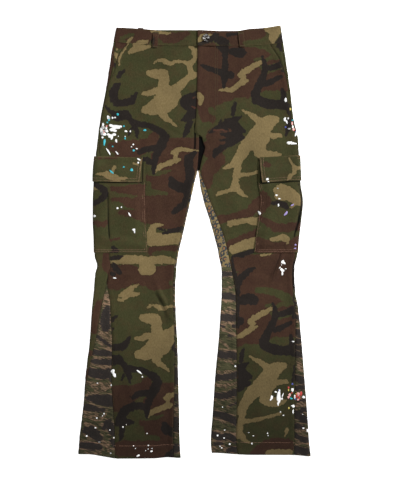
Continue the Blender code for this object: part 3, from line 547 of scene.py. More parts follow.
# %% Strokes on the smaller pieces
SMALL_PIECES = {
    "cargo_pocket_right": {
        "sand": "95,188.4,2 96.6,189,1.2",
        "brown": """
        112,189,1.8 120,190,3 130,190,5 140,190,6 150,192,6; 113,199.6,1.6 122,200,3 130,203,5
        141,204,8 150,210,6; 121,213,3 130,213.4,3.6 138,214.4,5 145,219,4 150,224,3; 96,223,3
        103,225,2.6 107,222,2; 111,240.4,1.1 119,238.4,1.5""",
        "black": """
        94,184.4,1.8 100,187,3 105,191.4,3.2 106,195.4,2.8 101,199.4,3 95,204,2.4; 113,247.4,1.8
        116,250.4,3 112,253.4,2.4; 74,200,4 82,210,5 88,222,4; 78,240,4 90,246,3""",
        "green": "112,195.8,0.9 118,196,0.9; 114,208,4 121,207.4,2.4",
    },
    "cargo_flap_right": {
        "sand": """
        97.6,174.6,1.2 103,174,1.8 107,175,3.5 113,177,3.8 119,179.4,2.6 127,178,1; 112,182.4,1.3
        121,182.4,1.1; 113,171.6,1.7 115.4,167,1.7; 133.6,163.6,1 138,165.2,1.2; 141,160,0.7
        141.2,182,0.7""",
        "brown": "74,170,5 84,172,4; 99,158.6,1 118,158.2,1",
        "black": "80,162,3 90,160,2",
    },
    "cargo_pocket_left": {
        "sand": """
        276,190.4,3 281,189,5.4 288,193,6.4 294,198,6 299,203,3; 277,196,3 283,197,4; 271,239.6,1.3
        277,239,2.6 282,237,3.2 287,239.4,2.8 287.6,243.6,1.1; 291,207,1.5 296,203,2""",
        "brown": """
        262,196,5 266,202,5 258,210,6; 258,217.6,2 268,223,3.6 276,228,4.4 286,228,4.6 298,226,4;
        262,248,7 276,248.6,6 290,247,6.4 301,240,5; 258,240,3 268,243,3""",
        "black": """
        272.6,203.4,1.9 278,203.2,2.4 284,205,3.2 287,208.6,1.8; 310,200,4 318,212,5; 312,236,4
        322,240,5""",
        "green": "277,208,3 282,210,3",
    },
    "cargo_flap_left": {
        "sand": """
        289,159,0.8 292,164,1.3 295,168.6,2.1 294,173.4,1.9 289.4,177.6,1.9 287,180.4,1;
        297.6,168,1.7 302,168,2""",
        "brown": "265.6,164.4,2.8 268.6,166,2.4; 310,172,4",
        "black": "316,162,4 322,170,4",
    },
    "waistband_right": {
        "sand": """
        151,31.6,0.9 158,32.6,1.2 167,34,1.3 170,33.4,0.8; 127,44.4,1.3 129.4,40.8,1.6
        131.6,38.4,1.1; 134,45.4,1.4 140,43,2.2 145,42.4,2 149,40.8,1""",
        "brown": """
        60,38,9 80,36,8 100,40,8; 112,36,9 122,33,6 135,35,9 147,35,9 151,38,5; 159,36,2.4
        166,38,5.6 174,38.8,5.6 180,37,4.4 187,33.6,2.4""",
        "black": "152.4,40,1.1 153,50,1; 90,38,4",
        "green": "122,38.4,1.8 128,36.8,2 134,34.8,1.2; 151,43,2 158,45,2.6",
    },
    "waistband_left": {
        "sand": """
        199,40.4,2.4 204,38,3.4 210,36.4,2.6 213.4,35.8,0.8; 268,29,4 272,30,5.4 276,31,4.6
        273,37,4.6 272.6,42,2 272.6,46,0.9; 278,27,3.4""",
        "brown": """
        200,33,5 215,30,5 230,34,8 238,42,7 250,34,8 260,33,6 262,28,4; 203,46,4 212,47,4; 292,36,9
        320,40,8""",
        "black": """
        199,45,1.6 205,42.8,2 211,40,3 216,36.6,3.4; 216,41,2.4 221,41,5 225,44,4.6 226,48,4;
        228,35.6,2 238,34,1.2; 276.6,45,2.4 280,42,3.4 283,36,2.4; 300,42,4""",
        "green": "241.6,46,3 248,43.4,2.6 256,42.6,2.4 262,43.8,2.6 266,46,3",
    },
    "hip_facing_right": {
        "sand": "115,53.6,1.3 118,57,2.7 119,63,1.3; 117,50,1",
        "brown": "112,40,8 120,42,7 128,40,5; 112,60,2 113,66,2",
        "black": "115.4,64,0.9 115,71,0.9",
    },
    "hip_facing_left": {
        "sand": "284,52,1.1 284,56,1",
        "brown": "287,66,3",
        "black": "279,46,3 281,50,2",
    },
    "back_right": {
        "sand": "108,112,1",
        "brown": """
        114,52,5 112,70,4.4 109.6,88,3.4; 106.6,249,3.2 106.6,258,3.6 106.4,266,4.4 108,271,3;
        101,305,5.6 97,318,7 95,329,5; 90,353,3; 87,372,3.4 87,380,2.4; 102,118,2.4 103,124,2""",
        "black": "105,107.6,2.4 109,110,2; 114.6,66,1 113.6,74,1",
        "green": "92,344,4",
    },
    "back_left": {
        "sand": "199,136,1",
        "brown": """
        290,62,4 292,80,3.4 296,96,2; 300,214,2.4 298,230,3.4 299,240,3; 296,262,2; 295,300,3""",
        # the black stroke at 200,148 and 202,160 is painted shade in the gap at the crotch, not print
        "black": """
        292.6,255,2 292.4,262,2.6 293,272,2.6 294,285,2.4 294.6,298,2.4; 200,148,9 202,160,6;
        299,190,1.4 301,204,1.6 299,216,1.4""",
        "green": "285,48,3",
    },
    "loops": {
        "brown": "156,36,4 156,46,5; 241,33,3 242,48,3; 100,40,9",
        "black": "153.6,38,0.9 153.4,48,0.9 152.8,51,1.2",
        "green": "245,44,2",
    },
}
INKS = ("sand", "brown", "green", "black", "specks")
FAR = 9.0  # pixels: no stroke nearer than this
SKEW_FROM = 90.0  # pixels down, where the lean of the repeat starts
FADE_START, FADE = 2.0, 26.0  # mm past the fold, where a piece's own strokes give way


def read_strokes(chart):
    lines = [line.split() for line in chart.split(";") if line.strip()]
    return [np.array([point.split(",") for point in line], float) for line in lines]


def ink_distance(chart, points, shifts=((0.0, 0.0),), skew=0.0):
    """Each point's distance in pixels to the nearest stroke, negative inside it."""
    nearest, strokes = np.full(len(points), FAR), read_strokes(chart)
    for shift in shifts:
        moved = points - np.array(shift)
        if shift[1] > 0:
            moved[:, 0] += skew * (moved[:, 1] - SKEW_FROM)
        for stroke in strokes:
            reach = FAR + stroke[:, 2].max()
            low, high = stroke[:, :2].min(axis=0) - reach, stroke[:, :2].max(axis=0) + reach
            near = np.flatnonzero(((moved > low) & (moved < high)).all(axis=1))
            if not len(near):
                continue
            place, best = moved[near], nearest[near]
            ends = np.vstack([stroke, stroke[-1:] + (0.01, 0, 0)]) if len(stroke) == 1 else stroke
            for start, end in zip(ends[:-1], ends[1:]):
                along = end[:2] - start[:2]
                t = np.clip(((place - start[:2]) @ along) / (along @ along), 0, 1)
                away = place - (start[:2] + t[:, None] * along)
                radius = start[2] + t * (end[2] - start[2])
                best = np.minimum(best, np.hypot(away[:, 0], away[:, 1]) - radius)
            nearest[near] = best
    return nearest


def in_pixels(x, y):
    """The place in the photograph of a point of the cloth, unrolled where it's underneath."""
    places = np.stack([x / PIXEL + CENTRE_LINE, LOWEST_HEM - (y + LENGTH / 2) / PIXEL], axis=-1)
    return places.reshape(-1, 2)


def print_on(name, side, runs, flat_x, y):
    """The print's distances for every point of a piece. On the top it has its own strokes, if
    any are drawn for it, and round the fold these run over into the leg's repeat."""
    pixels, leg = in_pixels(flat_x, y), "front_" + side
    repeat, width = np.array(PRINT_REPEAT[leg]), np.array(PRINT_WIDTH[leg])
    along, over = ((0, 1), (0, 1)) if name.startswith("front") else ((-1, 0, 1), (-1, 0, 1, 2, 3))
    shifts = [k * repeat + j * width for k in along for j in over]
    own = SMALL_PIECES.get(name, SMALL_PIECES["loops"] if name.startswith("loop") else None)
    underneath = smooth((runs.reshape(-1) - FADE_START) / FADE)
    found = {}
    for ink in INKS:
        if own is None or underneath.max() > 0:
            repeated = ink_distance(CAMOUFLAGE[leg].get(ink, ""), pixels, shifts, PRINT_SKEW[leg])
            found[ink] = np.minimum(repeated, ink_distance(ONCE[leg].get(ink, ""), pixels))
        if own is not None:
            local = ink_distance(own.get(ink, ""), pixels)
            found[ink] = local + (found.get(ink, FAR) - local) * underneath
    return found


drawn = [read_strokes(chart) for leg in CAMOUFLAGE.values() for chart in leg.values()]
print("print:", sum(len(strokes) for strokes in drawn), "strokes on the legs")

# %% [markdown]
# The inserts are of other cloths. The tiger stripe is charted the same way, with black bands
# and tan ones over olive, and the shader combs their edges into dry brush marks.

# %% Strokes of the tiger stripe
TIGER = {
    "outer_flare_right": {
        "black": """
        107,308,3 106,316,4.6 105,322,5 106,327,4.4; 98,337,1.6 104,341,2 111,346,1.8; 94,352,2.4
        103,352.6,3.2 112,354,2.2; 93,361,2.2 103,362,3.2 113,362,3.4; 90,372,4 100,374,5 110,373,5
        113,379,3; 88,398,2.4 98,399,5 108,400.4,6 116,403,4; 86,407,3 97,409,2.6 104,410,1.6;
        104,428,2 108,423,4 113,430,5; 86,430,3.4 95,434,5.4 99,438,4; 92,428,3; 82,445,3.4
        92,446,4.4 100,447,3; 112,441,2.4 116,447,2""",
        "tan": """
        107.4,294,2.8 106.6,303,3.4; 110,312,0.9 111.4,322,0.9; 101.6,320,0.9 100,326,0.9;
        99,331,2.4 106,334,3 112,338,2.6; 97,341.6,1.3 103,345,1.5 110,350.6,1.3; 94,357.6,0.9
        103,359,1; 93,364,1.8 104,366.4,1.4 113,367.4,1.2; 88,382,2.2 97,386.6,4.4 104,387,4
        113,384,2.2; 88,393,1.5 98,392,1.8; 84,413,3 93,416.4,4.2 100,418,3 106,414,1.3; 86,424,1.8
        96,427.4,2; 101,436,1.9 105,443,2.2 110,450,2.4; 86,452.6,1.4 100,453,1.4""",
    },
    "inner_flare_right": {
        "black": """
        175,285,2.8; 176,310,2.4; 176,330,3.6; 176,352,4; 176,372,5 177,382,3; 176,397,3.6;
        177,405,1.8; 176,420,4.2 177,428,4; 176,448,4.6""",
        "tan": """
        175,296,1.5; 175,301,1.1; 175,345,1.3; 175,377,1.5; 175,388,1.6; 175,412,3; 176,437,1.3""",
    },
    "inner_flare_left": {
        "black": """
        220,274,2.4 228,274,2.6 234,273,2; 221,296,3.2 229,296,3.8 236,299,2.8; 227,309,0.7
        237,312.6,0.7; 220,317,3.8 229,317.6,4 237,318,3.8; 220,325.4,1 224,326.6,0.8; 234,326,1.6
        238,327,1.6; 229,335,1 233,336,0.8; 218,354,3.4 228,355,3.8 238,356,3.8; 216,377,3
        228,377,3.4 238,374,3.4; 214,394.6,3 225,396,3.2 238,391,3.4; 229,405.6,0.8 236,403,1;
        213,413,3 223,415.4,3.6 231,418.6,3.4 238,423,3.4; 211,433,3 220,437,3.6 229,436.4,2.8
        238,441,3.4; 215,443.4,1.8 222,443,1.2; 228,450,2.4 238,449,3.6""",
        "tan": """
        222,290,0.9 234,286.6,0.8; 221,299.4,1.2 226,302,1.2; 221,312,1.5 229,312.6,1.9
        236,313.4,1.3; 221,325.8,1.6 226,323.4,2.2 233,325,2.2; 223,330,1.9 230,331,2 235,335,1.1;
        219,339,1.1 224,344,1.1 229,348,0.9; 220,349,1.5 230,350.6,1.4 237,350,1.6; 225,360.6,1
        234,362.6,1.4; 218,371,1 228,371.6,1.4 238,372,1.2; 216,384.6,1.5 226,386.2,1.9 236,383,1.3;
        220,399.4,1 234,397.6,1.3; 216,419,1.6 225,421,1.7; 216,431,1.6 226,431.6,1.6 236,434,1.6;
        212,448,2.6 219,446,2.5 226,449,2.3; 214,453,1.5""",
    },
    "outer_flare_left": {
        "black": """
        295,303,1.8; 296,317,2 300,319,2.2; 295,332,3 299,333,3.4 303,335,3; 295,341,2.4
        300,341,2.6; 296,347,2.8 302,348,2.6; 297,354,3.4 304,355,3; 295,377,3.4 303,380,3.8
        308,381,3; 296,388,2.4 303,387,2.4; 298,400,1.4 306,400,1.2; 296,414,3.6 303,419,4
        309,421,2.6; 296,426,3.4 302,427,2.4; 302,410,2.4 308,409,1.6; 294,435,2.2 302,438.6,3
        309,440,2.2; 295,449,3.4 306,451,3.8; 294,454,2""",
        "tan": """
        296,311,2.4 299,315,1.8; 297,322,1; 295,337,0.9 302,336.4,0.9; 297,343,0.9 302,343,0.8;
        298,361,2 300,367,3.2 302,372,1.4; 299,396,3 305,403,2.6; 296,405,1.9 303,404,1.8;
        296,410,0.9 303,421,0.8; 297,430.6,2 308,430,1.5; 297,443,1.8 307,442,1.6""",
    },
}


def stripes_on(name, x, y):
    """Distances to the bands. Underneath they mirror the top, as wedges are cut in pairs."""
    pixels = in_pixels(x, y)
    return {ink: ink_distance(chart, pixels) for ink, chart in TIGER[name].items()}

# %% [markdown]
# ## The finishes
# All cloths share one twill: fine diagonal ribs, a little fuzz, and threads that take the dye
# unevenly. The helpers below add shader nodes in a line, so that each finish reads as a recipe.

# %% Shader helpers
class Recipe:
    """A material's nodes, added one after another."""

    def __init__(self, name, roughness, specular=0.12):
        self.material = bpy.data.materials.new(name)
        self.material.use_nodes = True
        self.tree = self.material.node_tree
        self.shader = self.tree.nodes["Principled BSDF"]
        self.shader.inputs["Roughness"].default_value = roughness
        self.shader.inputs["Specular IOR Level"].default_value = specular

    def put(self, value, socket):
        """Links a node's output to the socket, or sets it to a plain number or colour."""
        if isinstance(value, bpy.types.NodeSocket):
            self.tree.links.new(value, socket)
        else:
            socket.default_value = (*value, 1) if socket.type == "RGBA" else value

    def add(self, kind, inputs=(), **settings):
        made = self.tree.nodes.new(kind)
        for key, value in settings.items():
            setattr(made, key, value)
        for key, value in dict(inputs).items():
            self.put(value, made.inputs[key])
        return made

    def math(self, operation, a, b=0.0, c=0.0):
        return self.add("ShaderNodeMath", {0: a, 1: b, 2: c}, operation=operation).outputs[0]

    def times(self, *factors):
        """The product of two or more values."""
        product = factors[0]
        for factor in factors[1:]:
            product = self.math("MULTIPLY", product, factor)
        return product

    def object_space(self):
        return self.add("ShaderNodeTexCoord").outputs["Object"]

    def cloth_space(self, turn=0.0, scale=(1, 1, 1)):
        uv = self.add("ShaderNodeUVMap", uv_map="cloth").outputs[0]
        inputs = {"Vector": uv, "Rotation": (0, 0, turn), "Scale": scale}
        return self.add("ShaderNodeMapping", inputs).outputs[0]

    def noise(self, scale, detail=3.0, space=None, roughness=0.5):
        space = space or self.object_space()
        inputs = {"Vector": space, "Scale": scale, "Detail": detail, "Roughness": roughness}
        return self.add("ShaderNodeTexNoise", inputs).outputs["Fac"]

    def streaks(self, turn, along, across):
        """Noise in streaks this long and this fine, in mm, turned against the laid garment's X."""
        size = (along * MM, across * MM, 0.1)
        inputs = {"Vector": self.object_space(), "Rotation": (0, 0, turn), "Scale": size}
        place = self.add("ShaderNodeMapping", inputs, vector_type="TEXTURE").outputs[0]
        inputs = {"Vector": place, "Scale": 1.0, "Detail": 2.0, "Distortion": 0.5}
        return self.add("ShaderNodeTexNoise", inputs).outputs["Fac"]

    def attribute(self, name):
        return self.add("ShaderNodeAttribute", attribute_name=name).outputs["Fac"]

    def between(self, value, low, high, out_low=0.0, out_high=1.0):
        inputs = {"Value": value, "From Min": low, "From Max": high}
        inputs |= {"To Min": out_low, "To Max": out_high}
        return self.add("ShaderNodeMapRange", inputs, interpolation_type="SMOOTHSTEP").outputs[0]

    def mix(self, amount, below, above):
        inputs = {0: amount, 6: below, 7: above}
        return self.add("ShaderNodeMix", inputs, data_type="RGBA").outputs[2]

    def scaled(self, colour, amount):
        """The colour made darker or lighter all over by a number that varies."""
        inputs = {0: colour, "Scale": amount}
        return self.add("ShaderNodeVectorMath", inputs, operation="SCALE").outputs[0]

    def finish(self, colour, bump, depth):
        inputs = {"Height": bump, "Distance": depth, "Strength": 1.0}
        normal = self.add("ShaderNodeBump", inputs).outputs[0]
        self.put(colour, self.shader.inputs["Base Color"])
        self.put(normal, self.shader.inputs["Normal"])
        return self.material


def tone(red, green, blue):
    """A colour as seen on screen, from 0 to 255, as the shader takes it."""
    return tuple(round((c / 255) ** 2.2, 4) for c in (red, green, blue))

# %% [markdown]
# Twill has diagonal ribs about a millimetre apart. Their height goes to the bump and a trace of
# it to the colour, as the ribs' tops are rubbed paler. Seam edges are rubbed palest. Shade is
# painted into the cloth where it dips or folds. From the knees down the cloth is darker towards
# the hems.

# %% Twill and camouflage
RIB_SCALE, RIB_TURN = 300.0, 1.05  # the ribs' closeness, and their slant in radians
INK_WOBBLE = 5.0  # pixels
WORN = tone(116, 98, 72)


def twill(recipe, ground):
    """The ground's colour with threads, wear and painted shade, and the height of its ribs and fuzz."""
    wave = {"Vector": recipe.cloth_space(turn=RIB_TURN), "Scale": RIB_SCALE, "Distortion": 0.6}
    ribs = recipe.add("ShaderNodeTexWave", wave).outputs["Fac"]
    threads = recipe.noise(700, 2, recipe.cloth_space(scale=(1, 0.25, 1)))
    mottle = recipe.noise(1, 3, recipe.cloth_space(scale=(330, 190, 1)), 0.7)
    wear_and_shade = recipe.attribute("wear_and_shade")
    length_way = recipe.add("ShaderNodeSeparateXYZ", {0: recipe.object_space()}).outputs[1]
    # The shade factor: tones of ribs, threads and mottle, painted shade where the attribute read above
    # is below zero, and darker towards the hems.
    shade = recipe.times(
        recipe.math("MULTIPLY_ADD", ribs, 0.10, 0.95),
        recipe.between(threads, 0.2, 0.8, 0.86, 1.14),
        recipe.between(recipe.noise(16, 4), 0.3, 0.7, 0.91, 1.09),
        recipe.between(mottle, 0.3, 0.7, 0.88, 1.12),
        recipe.between(wear_and_shade, -1.0, 0.0, 0.04, 1.0),
        recipe.between(length_way, -0.46, -0.10, 0.56, 1.0),
    )
    patchy = recipe.between(recipe.noise(160, 4), 0.25, 0.6)
    rubbed = recipe.times(recipe.math("MAXIMUM", wear_and_shade, 0.0), patchy, 0.8)
    worn_and_shaded = recipe.mix(rubbed, recipe.scaled(ground, shade), WORN)
    height = recipe.math("MULTIPLY_ADD", ribs, 0.6, recipe.times(threads, 0.4))
    crumple = recipe.times(recipe.noise(55, 5, roughness=0.6), 3.2)
    return worn_and_shaded, recipe.math("ADD", height, crumple)


def camouflage_cloth(name):
    recipe = Recipe(name, 0.88)
    wobble = recipe.math("SUBTRACT", recipe.noise(115, 5, roughness=0.6), 0.5)

    def ink(which, strength=1.0, low=-0.3, high=0.3):
        moved = recipe.math("MULTIPLY_ADD", wobble, INK_WOBBLE * strength, recipe.attribute(which))
        return recipe.between(moved, low, high, 1.0, 0.0)

    tint = recipe.noise(42, 5, roughness=0.7)
    green = recipe.mix(recipe.between(tint, 0.42, 0.66), tone(64, 64, 41), tone(68, 62, 41))
    brown = recipe.mix(recipe.between(tint, 0.35, 0.65), tone(70, 51, 40), tone(66, 47, 38))
    colour = recipe.mix(ink("brown", 1.3), green, brown)
    colour = recipe.mix(ink("green"), colour, green)
    trap = recipe.math("MULTIPLY_ADD", ink("sand", low=0.2, high=1.3), -0.22, 1.0)
    colour = recipe.mix(ink("sand"), recipe.scaled(colour, trap), tone(122, 106, 73))
    colour = recipe.mix(ink("black"), colour, tone(43, 38, 35))
    colour = recipe.mix(ink("specks", 0.5), colour, tone(80, 54, 44))
    colour, height = twill(recipe, colour)
    recipe.shader.inputs["Sheen Weight"].default_value = 0.03
    recipe.shader.inputs["Sheen Roughness"].default_value = 0.5
    return recipe.finish(colour, height, 0.0005)


CLOTHS = {"camouflage": camouflage_cloth("camouflage_twill")}

# %% [markdown]
# The tiger stripe's bands are combed: noise that is long across the leg and fine along it is
# added to the distances before they are cut, so each band ends in dry bristles.

# %% Tiger stripe and leopard
BRISTLE_TONE = tone(140, 114, 92)


def tiger_cloth(name):
    recipe = Recipe(name, 0.88)
    bristles = recipe.math("SUBTRACT", recipe.streaks(-0.2, 19, 3.6), 0.5)
    coarse = recipe.math("SUBTRACT", recipe.streaks(-0.3, 30, 13), 0.5)
    comb = recipe.math("MULTIPLY_ADD", coarse, 5.0, recipe.times(bristles, 2.6))
    to_black = recipe.math("MULTIPLY_ADD", comb, 0.55, recipe.attribute("black"))
    black = recipe.between(to_black, 0.1, 0.7, 1.0, 0.0)
    to_tan = recipe.math("SUBTRACT", recipe.attribute("tan"), comb)
    tan = recipe.between(to_tan, -0.3, 0.3, 1.0, 0.0)
    ground = recipe.mix(recipe.between(bristles, -0.05, 0.07), tone(82, 80, 58), tone(60, 60, 44))
    dry = recipe.between(recipe.streaks(-0.4, 14, 3.2), 0.48, 0.57)
    colour = recipe.mix(recipe.times(tan, 0.6), ground, tone(80, 69, 56))
    colour = recipe.mix(recipe.times(tan, dry), colour, BRISTLE_TONE)
    colour = recipe.mix(black, colour, tone(57, 52, 49))
    outside, inside = recipe.between(to_black, 1.2, 3.4, 1.0, 0.0), recipe.between(to_black, -0.9, 0.1)
    scratch = recipe.between(recipe.streaks(-0.25, 24, 2.8), 0.52, 0.60)
    stray = recipe.between(recipe.streaks(-0.5, 18, 2.6), 0.62, 0.68)
    stray = recipe.times(stray, recipe.math("MULTIPLY_ADD", black, -0.6, 0.7))
    light = recipe.math("MAXIMUM", recipe.times(inside, outside, scratch), stray)
    colour = recipe.mix(recipe.times(light, 0.85), colour, BRISTLE_TONE)
    colour, height = twill(recipe, colour)
    return recipe.finish(colour, height, 0.0005)


def leopard_cloth(name):
    """Rings and hearts round scattered points, bent by noise so that no two are alike."""
    recipe = Recipe(name, 0.85)
    place = recipe.cloth_space(scale=(1.0, 0.85, 1))
    bend = recipe.add("ShaderNodeTexNoise", {"Vector": place, "Scale": 150.0, "Detail": 2.0})
    moved = {0: place, 1: recipe.scaled(bend.outputs["Color"], 0.006)}
    place = recipe.add("ShaderNodeVectorMath", moved, operation="ADD").outputs[0]
    cells = {"Vector": place, "Scale": 92.0, "Randomness": 0.75}
    away = recipe.add("ShaderNodeTexVoronoi", cells).outputs["Distance"]
    ring = recipe.times(
        recipe.between(away, 0.22, 0.28), recipe.between(away, 0.48, 0.56, 1.0, 0.0),
        recipe.between(recipe.noise(190, 2), 0.36, 0.44),
    )
    some = recipe.between(recipe.noise(45, 1), 0.42, 0.58)
    heart = recipe.times(recipe.between(away, 0.18, 0.28, 1.0, 0.0), some)
    cloudy = recipe.between(recipe.noise(60, 2), 0.45, 0.6)
    colour = recipe.mix(cloudy, tone(128, 112, 78), tone(122, 104, 76))
    colour = recipe.mix(heart, colour, tone(136, 96, 68))
    colour = recipe.mix(ring, colour, tone(56, 60, 64))
    colour, height = twill(recipe, colour)
    return recipe.finish(colour, height, 0.0004)


CLOTHS["tiger_stripe"] = tiger_cloth("tiger_stripe_twill")
CLOTHS["leopard"] = leopard_cloth("leopard_cotton")
print("finishes:", [finish.name for finish in CLOTHS.values()])

# %% [markdown]
# ## The panels
# Each panel is a flat grid, as a cutter's piece is a flat shape. Its points are laid on the
# leg's form, the print is stored on them, and a Solidify modifier gives the cloth its wall.
# Beside a seam the cloth dips to the stitches and puckers a little between them.

# %% Laying a panel
def deselect():
    bpy.ops.object.select_all(action="DESELECT")


def panel(name, points, cloth_xy, thickness, finish, inks):
    """A grid of cloth laid on rows by columns of points, in mm, with a wall of this thickness."""
    rows, columns = points.shape[:2]
    deselect()
    bpy.ops.mesh.primitive_grid_add(x_subdivisions=columns - 1, y_subdivisions=rows - 1, size=1)
    made = bpy.context.object
    made.name = made.data.name = name
    mesh = made.data
    mesh.vertices.foreach_set("co", (points.reshape(-1) * MM).astype(np.float32))
    corner = np.empty(len(mesh.loops), np.int32)
    mesh.loops.foreach_get("vertex_index", corner)
    mesh.uv_layers[0].name = "cloth"
    flat = (cloth_xy.reshape(-1, 2) * MM)[corner]
    mesh.uv_layers[0].data.foreach_set("uv", flat.reshape(-1).astype(np.float32))
    for ink, values in inks.items():
        layer = mesh.attributes.new(ink, "FLOAT", "POINT")
        layer.data.foreach_set("value", values.reshape(-1).astype(np.float32))
    wall = made.modifiers.new("Wall", "SOLIDIFY")
    wall.thickness = thickness * MM
    wall.offset = 0
    bpy.ops.object.modifier_apply(modifier=wall.name)
    bpy.ops.object.shade_smooth_by_angle(angle=math.radians(50))
    mesh.materials.append(finish)
    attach(made, "root")
    return made


def declare(node):
    """Hides the solid that the panel stands for."""
    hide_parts(node)


def unrolled(side, runs, heights):
    """X of the cloth as if the leg were cut along its outer fold and opened out."""
    outer, _, outer_half, _, _ = BODY[side].sizes(heights)
    over = (QUARTER - 1) * outer_half
    beyond = outer + SIGN[side] * (runs + np.where(runs < 0, over, -over))
    return np.where(np.abs(runs) < over, outer, beyond)


def sewn_cloth(name, side, slot, runs, heights, points, thickness, wear_and_shade):
    """One piece of the garment: its print, its wear and painted shade, and its panel, with the solid it
    stands for hidden.
    """
    if slot == "camouflage":
        inks = print_on(name, side, runs, unrolled(side, runs, heights), points[..., 1])
    elif slot == "tiger_stripe":
        inks = stripes_on(name, points[..., 0], points[..., 1])
    else:
        inks = {}
    # Above zero the attribute holds pale wear; below zero it holds painted shade.
    inks["wear_and_shade"] = wear_and_shade
    cloth_xy = np.stack([runs, heights], axis=-1)
    made = panel(name + "_cloth", points, cloth_xy, thickness, CLOTHS[slot], inks)
    declare(name)


def rows_and_columns(start, end, up, pitch):
    """Runs from one edge to the other, closer together beside the edges, for each height."""
    count = max(6, int(np.max(end - start) / pitch))
    share = np.linspace(0, 1, count)
    share = share - 0.055 * np.sin(2 * math.pi * share)
    runs = start[:, None] + (end - start)[:, None] * share[None, :]
    return runs, np.broadcast_to(up[:, None], runs.shape)


SEAM_DIP, SEAM_RISE, PUCKER, SEAM_SHADE = 0.75, 0.45, 0.4, 0.45


def seam_relief(runs, heights, edge_a, edge_b):
    """The dip and the pucker beside a panel's two long edges, and the painted shade in the dip."""
    from_a, from_b = runs - edge_a[:, None], edge_b[:, None] - runs
    near = np.minimum(from_a, from_b)
    ripple = np.sin(heights / 4.1) * np.sin(heights / 11.3 + 1)
    ripple = ripple + 0.6 * np.sin(heights / 7.3 + runs / 9)
    relief = SEAM_RISE * within(near, 4, 9, 3) - SEAM_DIP * bell(near, 1.9)
    relief = relief + PUCKER * ripple * bell(near, 14) * smooth(near / 2)
    return relief, -SEAM_SHADE * bell(near, 1.4)


HOLLOWS = {
    # x0, up0, x1, up1, half width, depth: where the cloth folds into its own shade
    "front_right": (
        (1.5, 815, 0.5, 757, 2.6, 1.0), (-123, 727, -121, 668, 1.8, 0.8),
        (-120, 664, -112, 510, 1.2, 0.3),
        (-104, 428, -90, 396, 5.0, 0.22), (-92, 402, -72, 358, 5.0, 0.4), (-74, 366, -66, 332, 4.0, 0.3),
        (-118, 447, -100, 424, 5.0, 0.15), (-52, 640, -40, 560, 5.0, 0.16),
    ),
    "front_left": (
        (158, 727, 156, 670, 2.0, 0.9), (156, 666, 152, 510, 1.2, 0.35),
        (212, 506, 203, 480, 1.7, 0.6), (203, 482, 193, 452, 1.8, 0.6), (194, 456, 189, 436, 1.6, 0.35),
        (18, 770, 34, 786, 3.0, 0.3), (30, 748, 62, 754, 3.0, 0.2),
    ),
    "cargo_pocket_right": ((-260, 672, -128, 672, 1.6, 0.9), (-127, 672, -126, 722, 1.6, 0.8)),
    "cargo_pocket_left": (
        (264, 676, 164, 671, 1.6, 0.9), (162, 670, 160, 722, 2.0, 0.9),
        (253, 668, 258.5, 645, 2.0, 0.95), (258.5, 648, 260.5, 618, 2.4, 1.0),
        (260.5, 620, 257, 590, 2.4, 1.0),
        (257, 592, 251, 568, 2.2, 1.0), (251, 570, 243, 542, 1.8, 0.9), (200, 596, 214, 560, 2.2, 0.28),
        (214, 562, 220, 508, 2.0, 0.3), (214, 540, 236, 520, 2.2, 0.25),
    ),
    # painted shade on the back panels, in the gap between the fronts at the crotch
    "back_right": ((11, 790, 16, 765, 14, 1.0), (16, 765, 9, 700, 12, 1.0)),
    "back_left": ((11, 790, 20, 765, 14, 1.0), (20, 765, 9, 700, 12, 1.0)),
}
HOLLOW_ENDS = 6.0  # mm, over which a hollow fades past its ends


def hollow_shade(name, x, up):
    """How dark the hollows are: 0 outside them, -1 in their depth."""
    shade = np.zeros(x.shape)
    for *line, half_width, depth in HOLLOWS.get(name, ()):
        along, across, length = beside(x, up, *line)
        ends = smooth(1 + along / HOLLOW_ENDS) * smooth(1 + (length - along) / HOLLOW_ENDS)
        shade = np.minimum(shade, -depth * ends * smooth(1.6 - 1.2 * np.abs(across) / half_width))
    return shade


HEM_ROW = 31.0  # the hem's row of stitches


def hem_relief(heights):
    """The turned hem is a layer thicker, up to its row of stitches."""
    turned = 0.5 * (1 - smooth((heights - HEM_ROW - 1) / 3)) - 0.5 * bell(heights - HEM_ROW, 2.2)
    return turned + 0.3 * np.sin(heights / 3.3) * within(heights, 3, 26, 4)


PRESSED = 0.3  # what is left of a dip in the cloth underneath
HOLES_IN, HOLES_END = 10.0, CROTCH - 30  # a row of old stitch holes: from the inseam, and up to


def lay(name, side, slot, start, end, up, pitch):
    """A panel of the leg between two runs, from its first height to its last. Relief stands out
    from the top only, because underneath the cloth is pressed flat on the floor."""
    layer = BODY[side]
    runs, heights = rows_and_columns(start, end, up, pitch)
    relief, wear_and_shade = seam_relief(runs, heights, start, end)
    relief = relief + (hem_relief(heights) if up[0] < 1 else 0)
    underneath = (runs > 0) | (runs < -layer.half_round(up)[:, None])
    relief = np.where(underneath, np.minimum(relief, 0) * PRESSED, relief)
    points = layer.laid_over(runs, heights, relief)
    if name == "front_left":
        points[..., 2] += fly_lift(points[..., 0], heights, CLOTH, LAP_WIDTH)
    wear_and_shade = np.minimum(wear_and_shade, hollow_shade(name, points[..., 0], heights))
    if name.startswith("front"):
        # dots of painted shade along a row of old stitch holes beside the inseam
        from_holes = np.abs(runs - start[:, None] - HOLES_IN) + 50 * (heights > HOLES_END)
        wear_and_shade = np.minimum(wear_and_shade, -0.3 * bell(from_holes, 1.1) * (np.sin(heights * 1.05) > -0.2))
    if up[-1] > CROTCH:  # the shade under the waistband's edge
        wear_and_shade = np.minimum(wear_and_shade, -0.4 * bell(WAIST - 1.5 - heights, 1.6))
    sewn_cloth(name, side, slot, runs, heights, points, CLOTH, wear_and_shade)

# %% [markdown]
# The front panels run from waist to hem and carry most of the print. The left one laps over the
# right at the fly. Below the fly's end a gap opens between them down to the inseams, and the back
# panels under it have painted shade.

# %% Front and back panels
HALF_GAP = SEAM_GAP / 2  # on each side of a seam


